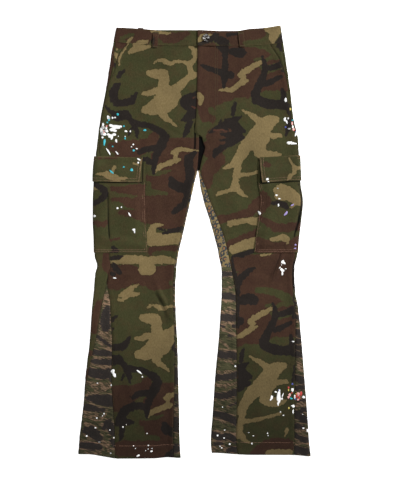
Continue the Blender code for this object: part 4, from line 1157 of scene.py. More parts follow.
def heights_between(low, high, pitch=3.2):
    return np.linspace(low, high, max(4, int((high - low) / pitch)))


def panel_heights():
    """Rows from the hem to the waist seam, with one just below and one just above the crotch."""
    up = heights_between(0.0, WAIST - HALF_GAP)
    below, above = up[up < CROTCH - 1], up[up > CROTCH + 1]
    return np.concatenate([below, [CROTCH, CROTCH + 0.2], above])


def front_edges(side, up):
    layer, seams = BODY[side], SEAMS[side]
    outseam = -(seams.read("outer_front", up) + HALF_GAP)
    inseam = -(layer.half_round(up) - seams.read("inner_front", up) - HALF_GAP)
    centre = -layer.run_to_x(CENTRE.read(side + "_edge", up), up)
    return np.where(up > CROTCH, centre, inseam), outseam


def back_edges(side, up):
    layer, seams = BODY[side], SEAMS[side]
    outseam = -(seams.read("outer_back", up) - HALF_GAP)
    inseam = layer.half_round(up) + seams.read("inner_back", up) - HALF_GAP
    seam_x = CENTRE.read("back_seam", up) - SIGN[side] * HALF_GAP
    return outseam, np.where(up > CROTCH, layer.run_to_x(seam_x, up), inseam)


for side in SIGN:
    up = panel_heights()
    lay(f"front_{side}", side, "camouflage", *front_edges(side, up), up, 3.1)
    lay(f"back_{side}", side, "camouflage", *back_edges(side, up), up, 3.4)
    up = heights_between(FACING_END, WAIST - HALF_GAP, 2.0)
    one = -(SEAMS[side].read("outer_back", up) + HALF_GAP)
    two = -(SEAMS[side].read("outer_front", up) - HALF_GAP)
    lay(f"hip_facing_{side}", side, "camouflage", np.minimum(one, two), np.maximum(one, two), up, 2.0)

# %% [markdown]
# Wedges of tiger stripe let into the outseam and the inseam below the knee make the flare. On
# the inner thigh the same strip is of leopard cotton.

# %% Inserts
INSERT_ROWS, INSERT_COLUMNS = 2.6, 2.4  # mm apart


def outer_insert(side):
    up = heights_between(0.0, OUTER_FLARE_TOP[side], INSERT_ROWS)
    start = -(SEAMS[side].read("outer_front", up) - HALF_GAP)
    end = -(SEAMS[side].read("outer_back", up) + HALF_GAP)
    lay(f"outer_flare_{side}", side, "tiger_stripe", start, end, up, INSERT_COLUMNS)


def inner_insert(name, side, slot, low, high):
    up = heights_between(low, high, INSERT_ROWS)
    inner_fold = -BODY[side].half_round(up)
    start = inner_fold + SEAMS[side].read("inner_back", up) + HALF_GAP
    end = inner_fold + SEAMS[side].read("inner_front", up) - HALF_GAP
    lay(f"{name}_{side}", side, slot, start, end, up, INSERT_COLUMNS)


for side in SIGN:
    outer_insert(side)
    inner_insert("inner_flare", side, "tiger_stripe", 0.0, INNER_FLARE_TOP - HALF_GAP)
    inner_insert("thigh_insert", side, "leopard", INNER_FLARE_TOP + HALF_GAP, CROTCH)

# %% [markdown]
# ## Pockets, flaps and waistband
# A cargo pocket stands off the leg on its pleats and lies flat at its sewn edges. Its flap
# covers the mouth. Both are sewn across the outseam, so they wrap round the outer fold.

# %% Cargo pockets
LAID_FLAT = CLOTH + LAID_GAP  # how far off the leg a piece sewn flat on it stands


def pocket_height(over, up):
    reach = np.minimum(up - POCKET_BOTTOM, POCKET_TOP - up)
    return LAID_FLAT + POCKET_BULGE * smooth(reach / POCKET_SLOPE) * smooth(over / BULGE_REACH)


def pocket_edge(side, up):
    return -POCKET_REACH[side][0] - 6 * (POCKET_TOP - up) / (POCKET_TOP - POCKET_BOTTOM)


def pocket_standing(side, runs, heights):
    from_edge = runs - pocket_edge(side, heights)
    bulge = pocket_height(-runs, heights) - LAID_FLAT
    return LAID_FLAT + bulge * smooth(from_edge / POCKET_SLOPE)


PLEAT = Table("up right left", (530, 38, 15), (580, 37, 8), (621, 36, 4.5), (672, 36, 3))
PLEAT_ENDS = {"right": (542, 642), "left": (548, 664)}
PLEAT_WIDTH = {"right": 1.7, "left": 2.0}
PLEAT_DEPTH = 3.0


def pleat(side, x, heights):
    """The pressed pleat beside the outer fold, 1 in its depth."""
    line, ends = PLEAT.read(side, heights), within(heights, *PLEAT_ENDS[side], 12)
    return ends * bell(x - line, PLEAT_WIDTH[side])


def pocket_folds(side, runs, heights):
    """Worn folds on the pocket's top: a pressed pleat and soft wrinkles near the bottom."""
    x = -runs
    wrinkles = 0.7 * np.sin(heights / 5.0 + x / 26) * within(heights, 510, 546, 14)
    sag = 0.8 * np.sin(x / 17 + heights / 40) * np.sin(heights / 28)
    sag = sag * smooth((heights - POCKET_BOTTOM) / 30)
    return smooth(x / 12) * (sag + wrinkles) - PLEAT_DEPTH * pleat(side, x, heights)


def lay_on(name, side, runs, heights, standing, thickness):
    """A pocket or a flap: cloth that stands off the leg, rubbed pale along its edges. A pocket has shade
    painted into its pleat and its hollows.
    """
    points = BODY[side].laid_over(runs, heights, standing)
    edge = np.minimum(runs - runs.min(axis=1, keepdims=True), heights - heights.min())
    wear_and_shade = bell(np.minimum(edge, heights.max() - heights), 2.0)
    if "pocket" in name:
        wear_and_shade = wear_and_shade - 0.85 * pleat(side, -runs, heights)
        wear_and_shade = np.minimum(wear_and_shade, hollow_shade(name, points[..., 0], heights) + (runs > 4))
    sewn_cloth(name, side, "camouflage", runs, heights, points, thickness, wear_and_shade)


def cargo_pocket(side):
    up = np.linspace(POCKET_BOTTOM, POCKET_TOP, 92)
    start, end = pocket_edge(side, up), np.full(len(up), POCKET_REACH[side][1])
    runs, heights = rows_and_columns(start, end, up, 2.4)
    relief, _ = seam_relief(runs, heights, start, end)
    standing = pocket_standing(side, runs, heights) + pocket_folds(side, runs, heights)
    standing = standing + np.where(runs < 0, np.maximum(relief, -0.25), 0)
    lay_on(f"cargo_pocket_{side}", side, runs, heights, standing, CLOTH)


for side in SIGN:
    cargo_pocket(side)

# %% [markdown]
# The flap's bottom edge and its side are topstitched twice, so the cloth is pressed down there.
# The flap on the wearer's left is set a little askew.

# %% Flaps
FLAP_LIFT = (CLOTH + FLAP_CLOTH) / 2 + LAID_GAP
FLAP_TALL = FLAP_TOP - FLAP_BOTTOM
FLAP_ROWS = (3.0, 8.5)  # of stitches, from the flap's edge


def flap_place(side, runs, share):
    """Height along the leg and off it of a point of the flap, share of the way up it."""
    tilt = FLAP_TILT[side] * smooth(1 + runs / FLAP_REACH[side][0])
    heights = FLAP_BOTTOM + FLAP_TALL * share + tilt
    return heights, pocket_height(-runs, np.minimum(heights, POCKET_TOP)) + FLAP_LIFT


def flap_edge(side, share):
    return -FLAP_REACH[side][0] + 4.0 * (1 - share)


def flap_curl(runs, share):
    """The lower edge lifts a little in places, but not near the outer fold."""
    return 0.3 * smooth(1 - share / 0.35) * (1 + np.sin(runs / 19)) * smooth(-runs / 30)


def cargo_flap(side):
    share = np.linspace(0, 1, 32)
    start, end = flap_edge(side, share), np.full(len(share), FLAP_REACH[side][1])
    runs, shares = rows_and_columns(start, end, share, 2.0)
    heights, standing = flap_place(side, runs, shares)
    from_edge = np.minimum(runs - start[:, None], shares * FLAP_TALL)
    first, second = (bell(from_edge - row, 1.2) for row in FLAP_ROWS)
    relief = flap_curl(runs, shares) - 0.45 * first - 0.35 * second
    standing = standing + np.where(runs < 0, relief, 0)
    lay_on(f"cargo_flap_{side}", side, runs, heights, standing, FLAP_CLOTH)


for side in SIGN:
    cargo_flap(side)

# %% [markdown]
# The waistband is a folded strip, closed along its top by the fold. Its right end runs under the
# left one, which carries the buttonhole. Belt loops are narrow strips arched over it.

# %% Waistband and belt loops
LOOP_WIDTH = 13.0
BAND_LOW = WAIST - 0.8  # it laps over the panels' top edges by this


def waistband(side):
    layer = BAND[side]
    up = np.linspace(BAND_LOW, BAND_TOP, 16)
    lap = BAND_LAP if side == "right" else 0.0
    start = -layer.run_to_x(CENTRE.read("fly", up) + lap, up)
    end = layer.run_to_x(CENTRE.read("back_seam", up) + SIGN[side] * HALF_GAP, up)
    runs, heights = rows_and_columns(start, end, up, 2.4)
    from_edge = np.minimum(heights - BAND_LOW, BAND_TOP - heights)
    relief = -0.4 * bell(from_edge, 1.5) - 0.3 * bell(from_edge - 3.4, 0.9)
    relief = relief + 0.22 * np.sin(runs / 3.7) * bell(from_edge, 6) + 0.25 * np.sin(runs / 27)
    relief = np.where(runs < 0, relief, np.minimum(relief, 0) * PRESSED)
    points = layer.laid_over(runs, heights, relief)
    if side == "left":
        points[..., 2] += fly_lift(points[..., 0], heights, BAND_CLOTH, BAND_LAP) * (runs < 0)
    wear_and_shade = 0.25 * bell(from_edge, 1.6)
    sewn_cloth(f"waistband_{side}", side, "camouflage", runs, heights, points, BAND_CLOTH, wear_and_shade)


def belt_loop(name, side, run, low, high, lean):
    share = np.linspace(0, 1, 22)
    up = low + (high - low) * share
    middle = run + lean * (share - 0.5)
    runs = middle[:, None] + np.linspace(-0.5, 0.5, 8)[None, :] * LOOP_WIDTH
    heights = np.broadcast_to(up[:, None], runs.shape)
    arch = 2.0 * np.sin(math.pi * share)[:, None] * (runs < 0)
    from_middle = np.abs(runs - middle[:, None])
    groove = -0.25 * bell(from_middle - 4, 0.8)
    standing = (BAND_CLOTH + LOOP_CLOTH) / 2 + SEAM_GAP + arch + groove * (runs < 0)
    points = BAND[side].laid_over(runs, heights, standing)
    wear_and_shade = 0.4 * bell(LOOP_WIDTH / 2 - from_middle, 1.2)
    sewn_cloth(name, side, "camouflage", runs, heights, points, LOOP_CLOTH, wear_and_shade)


LOOPS = {
    # side, run, lowest height, highest, and how far it leans
    "loop_front_right": ("right", -101, 1001, 1039, 4), "loop_front_left": ("left", -100, 1004, 1039, 2),
    "loop_back_right": ("right", 60, 1000, 1047, 0), "loop_back_left": ("left", 70, 1000, 1044, 0),
    "loop_back_middle": ("right", 192, 1000, 1044, 0),
}
for side in SIGN:
    waistband(side)
for name, loop in LOOPS.items():
    belt_loop(name, *loop)

# %% [markdown]
# ## Button
# The waist button is a domed metal cap with a rolled rim. A cylinder is added at its size, its
# top is inset and pushed in for the rim and the dished face, and a bevel rounds the edges.

# %% Waist button
BUTTON_RADIUS = 8.5
RINGS = ((1.4, 0.0), (0.7, -0.8), (1.8, 0.0), (0.5, 0.45), (1.2, 0.0), (0.5, -0.35))  # inset, rise


def select_faces(made, chosen):
    """Goes to edit mode with just the chosen faces of the object selected."""
    bpy.ops.object.mode_set(mode="EDIT")
    bpy.ops.mesh.select_mode(type="FACE")
    bpy.ops.mesh.select_all(action="DESELECT")
    bpy.ops.object.mode_set(mode="OBJECT")
    for face in made.data.polygons:
        face.select = chosen(face)
    bpy.ops.object.mode_set(mode="EDIT")


def waist_button():
    low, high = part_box("waist_button")
    middle = tuple((a + b) / 2 for a, b in zip(low, high))
    deselect()
    bpy.ops.mesh.primitive_cylinder_add(
        vertices=48, radius=BUTTON_RADIUS * MM, depth=high[2] - low[2], location=middle)
    made = bpy.context.object
    select_faces(made, lambda face: face.normal.z > 0.9)
    for inset, rise in RINGS:
        bpy.ops.mesh.inset(thickness=inset * MM)
        bpy.ops.transform.translate(value=(0, 0, rise * MM))
    bpy.ops.object.mode_set(mode="OBJECT")
    made.name = made.data.name = "waist_button_cap"
    soften = made.modifiers.new("Soften", "BEVEL")
    soften.width = 0.35 * MM
    soften.segments = 3
    soften.limit_method = "ANGLE"
    bpy.ops.object.modifier_apply(modifier=soften.name)
    bpy.ops.object.transform_apply(location=True, rotation=True, scale=True)
    bpy.ops.object.shade_smooth_by_angle(angle=math.radians(40))
    return made


def worn_metal(name):
    recipe = Recipe(name, 0.32, 0.5)
    recipe.shader.inputs["Metallic"].default_value = 1.0
    spots = recipe.noise(420, 3)
    colour = recipe.mix(recipe.between(spots, 0.44, 0.52), tone(196, 194, 192), tone(46, 42, 38))
    return recipe.finish(colour, recipe.noise(520, 3), 0.0006)


button = waist_button()
button.data.materials.append(worn_metal("worn_steel"))
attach(button, "root")
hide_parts("waist_button")
print("button:", len(button.data.polygons), "faces")

# %% [markdown]
# ## Stitching
# Every seam is topstitched. A stitch is a short spindle of thread, half sunk in the cloth. It is
# modelled once and copied along each line, and the copies of one group are one piece.

# %% One stitch
STITCH_PITCH, STITCH_LENGTH, THREAD_RADIUS = 3.4, 2.7, 0.38


def stitch_model():
    deselect()
    bpy.ops.mesh.primitive_cylinder_add(
        vertices=6, radius=THREAD_RADIUS * MM, depth=STITCH_LENGTH * 0.5 * MM)
    made = bpy.context.object
    select_faces(made, lambda face: abs(face.normal.z) > 0.9)
    bpy.ops.mesh.inset(thickness=THREAD_RADIUS * 0.55 * MM, use_individual=True)
    bpy.ops.object.mode_set(mode="OBJECT")
    for vertex in made.data.vertices:
        if math.hypot(vertex.co.x, vertex.co.y) < THREAD_RADIUS * 0.7 * MM:
            vertex.co.z = math.copysign(STITCH_LENGTH / 2 * MM, vertex.co.z)
    return made


def points_and_faces(model):
    """What the copies of a model are made of. The model itself is taken away."""
    points = np.array([vertex.co for vertex in model.data.vertices])
    faces = [list(face.vertices) for face in model.data.polygons]
    bpy.data.objects.remove(model)
    return points, faces


STITCH_POINTS, STITCH_FACES = points_and_faces(stitch_model())
print("stitch:", len(STITCH_POINTS), "points")

# %% [markdown]
# A line of sewing is given as runs and heights on a surface. The stitches are spaced along it
# by its length, each turned to the line and stood on the cloth's own normal.

# %% Sewing along a line
BAND_SINK, POCKET_SINK, FLAP_SINK = 0.25, -0.05, 0.4  # how deep a stitch's middle lies


def on_body(side, sink=0.1):
    def surface(run, up, out):
        points = BODY[side].laid_over(run, up, np.zeros_like(run) + CLOTH / 2 - sink + out)
        if side == "left":
            above = (run < 0) & (points[..., 0] < CENTRE.read("fly", up) + 60)
            points[..., 2] += np.where(above, fly_lift(points[..., 0], up, CLOTH, LAP_WIDTH), 0)
        return points
    return surface


def on_band(side):
    def surface(run, up, out):
        points = BAND[side].laid_over(run, up, np.zeros_like(run) + BAND_CLOTH / 2 - BAND_SINK + out)
        if side == "left":
            points[..., 2] += np.where(run < 0, fly_lift(points[..., 0], up, BAND_CLOTH, BAND_LAP), 0)
        return points
    return surface


def on_pocket(side):
    def surface(run, up, out):
        standing = pocket_standing(side, run, up) + pocket_folds(side, run, up)
        return BODY[side].laid_over(run, up, standing + CLOTH / 2 - POCKET_SINK + out)
    return surface


def on_flap(side):
    def surface(run, share, out):
        heights, standing = flap_place(side, run, share)
        standing = standing + flap_curl(run, share) + FLAP_CLOTH / 2 - FLAP_SINK
        return BODY[side].laid_over(run, heights, standing + out)
    return surface


def sew(surface, runs, ups, pitch=STITCH_PITCH, crosswise=False, samples=400):
    """The points of all stitches on one line, three numbers to a point."""
    share = np.linspace(0, 1, samples)
    knots = np.linspace(0, 1, len(runs))
    run, up = np.interp(share, knots, runs), np.interp(share, knots, ups)
    line = surface(run, up, 0.0)
    out = surface(run, up, 1.0) - line
    length = np.concatenate([[0], np.cumsum(np.linalg.norm(np.diff(line, axis=0), axis=1))])

    def read(values, where):
        return np.stack([np.interp(where, length, values[:, k]) for k in range(3)], axis=-1)

    count = max(1, int(length[-1] / pitch))
    at = (np.arange(count) + 0.5) * length[-1] / count
    along = read(line, at + 1) - read(line, at - 1)
    along /= np.maximum(np.linalg.norm(along, axis=1, keepdims=True), 1e-9)
    across = np.cross(read(out, at), along)
    across /= np.linalg.norm(across, axis=1, keepdims=True)
    normal = np.cross(along, across)
    if crosswise:
        along, across = across, along
    local = (STITCH_POINTS * (1, 1, 1.25 if crosswise else 1.0))[..., None, None]
    turned = local[:, 0] * across + local[:, 1] * normal + local[:, 2] * along
    laid = turned + read(line, at) * MM
    laid[..., 2] = np.maximum(laid[..., 2], 0)  # underneath, thread is pressed flat
    return laid.transpose(1, 0, 2)


def copied_piece(name, copies, model_faces, finish):
    """Laid copies of a model, joined as one piece that rides with the garment."""
    count, each = copies.shape[:2]
    faces = [[k * each + i for i in face] for k in range(count) for face in model_faces]
    mesh = bpy.data.meshes.new(name)
    mesh.from_pydata(copies.reshape(-1, 3), [], faces)
    mesh.shade_smooth()
    mesh.materials.append(finish)
    made = bpy.data.objects.new(name, mesh)
    bpy.context.scene.collection.objects.link(made)
    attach(made, "root")
    print(f"{name}: {count} copies")


def sewn_rows(name, rows, finish):
    copied_piece(name, np.concatenate(rows), STITCH_FACES, finish)


def thread(name, colour):
    recipe = Recipe(name, 0.6)
    fuzz = recipe.noise(2400, 2)
    shade = recipe.scaled(colour, recipe.between(fuzz, 0.3, 0.7, 0.8, 1.2))
    return recipe.finish(shade, fuzz, 0.0002)


OLIVE_THREAD = thread("olive_thread", tone(74, 66, 47))
BROWN_THREAD = thread("brown_thread", tone(148, 112, 94))

# %% [markdown]
# The lines follow the seams: twice beside each outseam, once beside each insert, round the
# waistband, the fly and its curved guard, the pockets and the hems.

# %% Seam lines of the legs
EDGE = 2.2  # from the seam to the first row of stitches
SECOND = 6.0  # and to the second
MOUTH_ROWS = (2.6, 7.4)  # from the hip pocket's mouth
INSEAM_END = CROTCH - 10


def sewn_lines(surface, lines):
    """A row of stitches for each pair of runs and heights."""
    return [sew(surface, runs, ups) for runs, ups in lines]


def seam_rows(side):
    seams = SEAMS[side]
    up = np.linspace(OUTER_FLARE_TOP[side] + 6, FACING_END, 60)
    lines = [(-seams.read("outer_front", up) - away, up) for away in (EDGE, SECOND)]
    up = np.linspace(2, OUTER_FLARE_TOP[side] - 4, 60)
    lines.append((-seams.read("outer_front", up) - EDGE, up))
    lines.append((-seams.read("outer_back", up) + EDGE, up))
    up = np.linspace(2, INSEAM_END, 90)
    half_round = BODY[side].half_round(up)
    lines.append((-half_round + seams.read("inner_front", up) + EDGE, up))
    lines.append((half_round + seams.read("inner_back", up) - EDGE, up))
    return sewn_lines(on_body(side, 0.05), lines)


def hem_rows(side):
    half_round = float(BODY[side].half_round(np.array([HEM_ROW]))[0])
    run = np.linspace(-half_round - 30, half_round - 30, 120)
    return sewn_lines(on_body(side, 0.0), [(run, np.full(120, HEM_ROW))])


def hip_pocket_rows(side):
    up = np.linspace(FACING_END + 4, WAIST - 4, 30)
    mouth = -SEAMS[side].read("outer_front", up)
    return sewn_lines(on_body(side), [(mouth - away, up) for away in MOUTH_ROWS])


leg_rows = [row for side in SIGN for row in seam_rows(side)]
sewn_rows("leg_stitching", leg_rows, OLIVE_THREAD)
sewn_rows("hem_stitching", [row for side in SIGN for row in hem_rows(side)], BROWN_THREAD)

# %% Waist, fly and pocket lines
FLY_BEND, FLY_ROW_LOW = 850.0, 800.0  # the guard's rows curve in below the first
GUARD, GUARD_PITCH = 44.0, 5.0  # from the fly's edge to the first of them, and to the second
POCKET_ROWS = (2.4, 7.0)  # from the cargo pocket's edges


def fly_rows():
    layer = BODY["left"]
    up = np.linspace(FLY_ROW_LOW, WAIST - 3, 30)
    lines = [(-layer.run_to_x(CENTRE.read("fly", up) + 4.5, up), up)]
    turn = np.linspace(0, QUARTER, 24)
    for away in (GUARD, GUARD + GUARD_PITCH):
        bend = FLY_BEND - (60 + away - GUARD) * np.sin(turn)
        curve_x = 8 + (away - 6) * np.cos(turn) ** 0.8
        guide_up = np.concatenate([np.linspace(WAIST - 3, FLY_BEND, 20), bend])
        guide_x = np.concatenate([np.full(20, CENTRE.read("fly", 930.0) + away), curve_x])
        lines.append((-layer.run_to_x(guide_x, guide_up), guide_up))
    return sewn_lines(on_body("left"), lines)


def waist_rows(side):
    lines = []
    for up in (WAIST + 4.0, BAND_TOP - 4.0):
        level, past_edge = np.array([up]), 2 if side == "left" else -1
        start = -BAND[side].run_to_x(CENTRE.read("fly", level) + past_edge, level)[0]
        end = BAND[side].run_to_x(np.array([5.0]), level)[0]
        lines.append((np.linspace(start, end, 80), np.full(80, up)))
    return sewn_lines(on_band(side), lines)


def pocket_rows(side):
    lines, under = [], POCKET_REACH[side][1]
    for inset in POCKET_ROWS:
        low = POCKET_BOTTOM + inset
        up = np.linspace(low, FLAP_BOTTOM, 60)
        bottom = np.linspace(pocket_edge(side, POCKET_BOTTOM) + inset, under - inset, 80)
        lines.append((pocket_edge(side, up) + inset, up))
        lines.append((np.full(60, under - inset), up))
        lines.append((bottom, np.full(80, low)))
    return sewn_lines(on_pocket(side), lines)


def flap_rows(side):
    lines, under = [], FLAP_REACH[side][1]
    for inset in FLAP_ROWS:
        share = np.linspace(inset / FLAP_TALL, 1 - 2.4 / FLAP_TALL, 40)
        run = np.linspace(flap_edge(side, 0.0) + inset, under - inset, 80)
        lines.append((flap_edge(side, share) + inset, share))
        lines.append((run, np.full(80, inset / FLAP_TALL)))
        lines.append((run, np.full(80, 1 - (inset - 0.6) / FLAP_TALL)))
    return sewn_lines(on_flap(side), lines)


waist_stitches = fly_rows() + [row for side in SIGN for row in waist_rows(side) + hip_pocket_rows(side)]
sewn_rows("waist_stitching", waist_stitches, OLIVE_THREAD)
pocket_stitches = [row for side in SIGN for row in pocket_rows(side) + flap_rows(side)]
sewn_rows("pocket_stitching", pocket_stitches, BROWN_THREAD)

# %% [markdown]
# Bar tacks are dense zigzags that hold the ends of loops, pocket mouths and the fly. Each is a
# row of stitches set side by side across its line.

# %% Bar tacks
def bar_tack(surface, run, up, length, upright=False):
    """A short bar of close stitches set across it: along the run, or up the leg."""
    ends = np.array([-length / 2, length / 2])
    line = (run + 0 * ends, up + ends) if upright else (run + ends, up + 0 * ends)
    return [sew(surface, *line, pitch=0.55, crosswise=True, samples=20)]


def on_loop(side, share_of_arch):
    def surface(run, up, out):
        standing = BAND_CLOTH / 2 + SEAM_GAP + LOOP_CLOTH + share_of_arch - 0.1
        return BAND[side].laid_over(run, up, np.zeros_like(run) + standing + out)
    return surface


tacks = []
for side, run, low, high, lean in LOOPS.values():
    loop = on_loop(side, 0.35 if run < 0 else 0)
    tacks += bar_tack(loop, run - lean / 2, low + 2.5, 11)
    tacks += bar_tack(loop, run + lean / 2, high - 2.5, 11)
for side in SIGN:
    mouth = SEAMS[side].read("outer_front", np.array([FACING_END + 6, WAIST - 10]))
    tacks += bar_tack(on_body(side), -float(mouth[0]) - 5, FACING_END + 6, 8)
    tacks += bar_tack(on_body(side), -float(mouth[1]) - 5, WAIST - 10, 8)
    tacks += bar_tack(on_pocket(side), float(pocket_edge(side, FLAP_BOTTOM)) + 5, FLAP_BOTTOM - 4, 7)
fly_run = -float(BODY["left"].run_to_x(np.array([9.0]), np.array([FLY_ROW_LOW]))[0])
tacks += bar_tack(on_body("left"), fly_run, FLY_ROW_LOW, 9, upright=True)
sewn_rows("bar_tacks", tacks, OLIVE_THREAD)

# %% [markdown]
# ## Paint
# Paint has been flicked over the trousers, white most of all. Each drop is a low dome with an
# uneven rim that follows the cloth under it. Drops are listed in the photograph's
# pixels: "x,y,half width,half height", and for those that slant the turn in degrees.

# %% Drops of paint
PAINT = {
    "white": """
        112.6,118,1,1.1 115.2,117.7,0.9,0.8 126,131.4,1.5,1,10 130.4,131.5,0.7,1 116.3,141,1.1,2,-10
        111.4,139,0.7,0.9 102.7,137.7,1.1,1.1 108.6,151.8,0.8,4.2,-32 117.2,153.2,0.7,2.3,-38
        133.4,144.6,0.9,0.9 131.6,147,0.7,0.6 136.8,148.8,1.1,0.7,20 138.9,159.6,2,0.8,30
        138.4,162.9,0.9,1 117.7,208.3,1.1,1.1 121.7,207.3,0.7,0.8 129.8,214.6,0.8,2.3,-30
        134,229.8,1.6,1.3 134.7,232,0.7,1.3 94.8,216.1,1.3,1.3 114.7,278,1.8,0.7,5
        125.3,136.6,0.6,0.5 118.5,136.5,0.5,0.6 113,371.4,1.9,2.5 114.6,375,1.6,2.2,-20
        139.2,371.8,0.8,3.4,-52 142.4,376.7,0.7,0.8 97.6,383,0.8,0.6 111.3,385,0.5,1.1
        104.1,413.5,0.7,0.9 102.6,415.6,0.3,1,30 96.9,417.9,0.8,0.8 95.5,427.6,1,0.7
        110,429.8,0.7,0.6 86.8,435.8,0.9,0.9 123,426.8,0.8,0.8 126.4,424.4,0.4,0.4
        147.1,433.2,0.9,0.6 148.4,445.2,0.8,0.6 151.5,451.1,1.4,0.8,-15 152,448.2,0.6,0.4
        138.2,455.4,1.9,0.9,-28 133.6,445.6,0.6,0.6 135.4,448.2,0.5,0.5 148.2,448.8,0.6,0.5
        145.6,450.4,0.5,0.5 114,437.5,0.6,0.7 285.4,100.2,1.3,2.3 284.6,119.4,1.2,2.2,10
        286.4,122,0.9,2.2,-20 289.2,143,2.8,1.6,-8 292.6,143.6,2.6,1.3 295.4,143.9,1.2,0.7
        267,179.6,1.5,1.2,-25 268,182,1,0.7 276.2,195.4,1.2,0.9 279,198.9,1.2,0.7
        278.2,205.3,0.8,1.6 259.3,213,1.2,2.1,-25 282.6,262,1.6,1.9,15 284.2,263,1,1.6,-30
        279.8,267.6,1.2,0.6,-45 281.6,270,1.3,2.2,-25 283.2,270.8,1,1.4,30 282.2,273.6,0.9,2
        285.6,268.8,0.9,0.6 278.7,397,2,6.4 278,403.6,0.9,2.2 279.4,390.6,0.8,1.6
        271.6,397.6,1.2,2.4,10 270.4,399.6,0.7,1 275.6,391.8,1.3,0.9,20 282.6,395,0.6,2.4,20
        281.8,398.6,1,1.2 292.3,389.7,1.4,2 294.6,396.6,0.8,2.2 303.4,396.8,1.6,1.4,20
        293.3,406,1.4,1.6 291.8,405.6,1,0.6 293,411.4,0.8,2.3 283.3,415.2,0.8,0.6 303.2,427.9,1,0.8
        307.2,430.2,1,1.6 302.6,414,0.5,0.5 267.4,433.2,0.7,0.7 235.2,366.1,0.9,0.9
        222.5,406.9,0.6,0.6 224.6,429.9,0.7,0.6 217.5,435.2,0.9,1 224,437.8,0.8,0.7
        229.6,443.9,1,0.9,-20 221.6,447.6,0.8,0.6 220,446,0.5,0.7 293,341.4,1.4,0.7 288,118.6,0.8,1
        295.6,134.6,1,2.4,15 292.6,127,0.9,1.6 253.2,435.6,1,0.4 251.8,443.4,0.7,0.9
        280.4,411.8,0.6,0.6 108,117.4,0.9,2 110.6,136.2,2.6,1.9 108.4,134.6,1.6,1.2
        114,134.8,2.4,1.5,-10 112,138,1.2,1.6,20 116,127,5.6,2,6 113,129.4,3.6,2,-20 111,125.6,2,1.4
        107,131.2,1.6,1.5,30 104.6,134.4,2,1.6 120.6,126.6,1.7,1,20 115,131,2.2,1.2
        106.4,128.4,1.1,1 101.4,130.4,1.4,2.6 103.2,124.8,1.2,1.6 307.6,418.6,0.7,0.4
        281.4,265,0.4,0.7""",
    "cyan": """
        117.8,114.5,1.1,1.4,-20 109,120,0.9,1.4 124,126.3,0.9,0.9 144.9,130.3,1.6,1
        125.2,138.6,0.8,1.2 104.7,142.4,1.1,3.5,5 112.8,146.6,0.8,0.8 133.8,150.6,1.2,1.1
        124.1,167.3,1,0.8 132,170.2,1.5,1.5 112,172.3,0.9,2.8,-50 107.4,122.6,0.8,0.8
        291,398.2,1.6,0.8,20 292.4,120.4,1.1,0.7""",
    "grey": """
        109.2,118.4,1,2.4 103,127.6,1.8,2.2 102.4,133.2,1.9,2.6 105.6,130.8,1.1,1.3 289,129,1.6,0.9
        268,435.4,0.8,0.7 248.6,432.4,1,0.4 99.4,441.8,1.3,0.4 110.8,453,0.8,0.8 277.4,188.6,0.8,0.6""",
    "pink": """
        104.4,133.2,1,1.3 106.6,126.6,0.8,1 292,123.6,1,1.8 293.4,129.6,1.3,1.6 289.6,394.6,1.3,1.6
        288.4,397,1.2,1.4 298,394,1.5,2.2 297.8,399.4,1.2,1 103.8,131,0.6,0.8""",
    "red": """
        288.4,387.4,0.9,1.2 296.6,395.4,1.6,2.4,10 300.6,393.4,1.5,2.4,15 299,397.6,1,1.4
        291.6,392.6,0.8,0.7 294,130.4,0.9,0.8 107.4,126,0.5,0.6""",
    "yellow": """
        290.2,109.4,0.9,1.4 288.7,408,0.8,1.2 288.4,390,0.7,1.2 103.6,127.4,0.8,0.8
        295.8,393.6,0.7,1""",
    "violet": """
        285.6,213.6,1.1,2.8,40 292,205.2,0.8,2,60 295.2,244.8,1.1,0.9 294.8,248.4,1.3,0.7
        295.6,132,0.6,0.6""",
    "blue": """
        285.4,127.3,1,0.9 292.2,383.8,1,1 278.4,390,0.6,0.6 295.2,399,1,0.6""",
}
PAINT_COLOURS = {
    "white": (0.93, 0.93, 0.92), "cyan": (0.02, 0.42, 0.50), "grey": (0.42, 0.42, 0.42),
    "pink": (0.72, 0.36, 0.33), "red": (0.50, 0.05, 0.04), "yellow": (0.60, 0.47, 0.10),
    "violet": (0.33, 0.26, 0.55), "blue": (0.05, 0.06, 0.32),
}


def cloth_surface():
    """All the cloth that shows, as one tree that rays are dropped on."""
    points, faces = [], []
    for piece in [obj for obj in bpy.data.objects if obj.name.endswith("_cloth")]:
        base = len(points)
        points += [vertex.co for vertex in piece.data.vertices]
        faces += [[base + i for i in face.vertices] for face in piece.data.polygons]
    return BVHTree.FromPolygons(points, faces)


SURFACE = cloth_surface()
DROP_SIDES = 16


def drop_model():
    """A disc of three rings, made once: a circle filled to its centre."""
    deselect()
    bpy.ops.mesh.primitive_circle_add(vertices=DROP_SIDES, radius=1.0, fill_type="NGON")
    made = bpy.context.object
    select_faces(made, lambda face: True)
    for thickness in (0.12, 0.25, 0.3):
        bpy.ops.mesh.inset(thickness=thickness)
    bpy.ops.mesh.poke()
    bpy.ops.object.mode_set(mode="OBJECT")
    return made


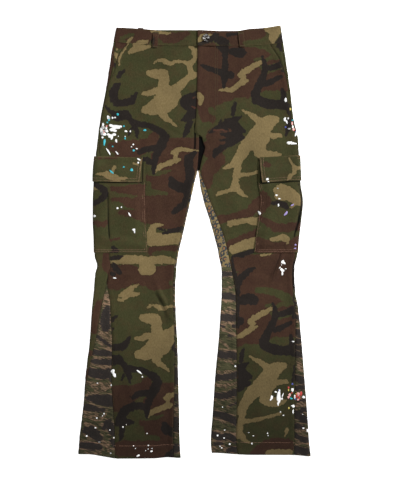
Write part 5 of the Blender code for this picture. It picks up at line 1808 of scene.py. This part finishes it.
DROP_POINTS, DROP_FACES = points_and_faces(drop_model())
ABOVE_ALL = 0.1  # metres, where rays are dropped from
DOME, RIM, SUNK = 0.45, 0.10, -0.2  # mm: a drop's dome, its foot, and how deep its rim is sunk


def drop(number, px, py, half_wide, half_high, turn=0.0):
    """One drop's points in metres, laid on the cloth under it."""
    radius = np.hypot(DROP_POINTS[:, 0], DROP_POINTS[:, 1])
    around = np.arctan2(DROP_POINTS[:, 1], DROP_POINTS[:, 0])
    uneven = 1 + 0.10 * np.sin(3 * around + number) + 0.08 * np.sin(5 * around + 2.3 * number)
    turn = -math.radians(turn)  # the photograph's rows run downwards
    wide, high = DROP_POINTS[:, 0] * uneven * half_wide, DROP_POINTS[:, 1] * uneven * half_high
    x = (px + wide * math.cos(turn) - high * math.sin(turn) - CENTRE_LINE) * PIXEL * MM
    y = (LOWEST_HEM - py + wide * math.sin(turn) + high * math.cos(turn)) * PIXEL - LENGTH / 2
    level = []
    for place_x, place_y in zip(x, y * MM):
        hit = SURFACE.ray_cast(Vector((place_x, place_y, ABOVE_ALL)), Vector((0, 0, -1)))[0]
        level.append(-1.0 if hit is None else hit.z)
    level = np.array(level)
    on_cloth = level >= 0
    if not on_cloth.any():
        return None
    level[~on_cloth] = level[on_cloth].min()
    rise = RIM + DOME * np.sqrt(np.clip(1 - radius**2, 0, 1))
    return np.column_stack([x, y * MM, level + np.where(radius > 0.99, SUNK, rise) * MM])


def paint_finish(name, colour):
    recipe = Recipe(name, 0.42, 0.5)
    uneven = recipe.noise(500, 3)
    shade = recipe.scaled(colour, recipe.between(uneven, 0.3, 0.7, 0.88, 1.08))
    return recipe.finish(shade, uneven, 0.0003)


for colour, chart in PAINT.items():
    spots = [[float(value) for value in spot.split(",")] for spot in chart.split()]
    laid = [drop(number, *spot) for number, spot in enumerate(spots, start=1)]
    copies = np.array([points for points in laid if points is not None])
    finish = paint_finish(f"{colour}_paint", PAINT_COLOURS[colour])
    copied_piece(f"paint_{colour}", copies, DROP_FACES, finish)
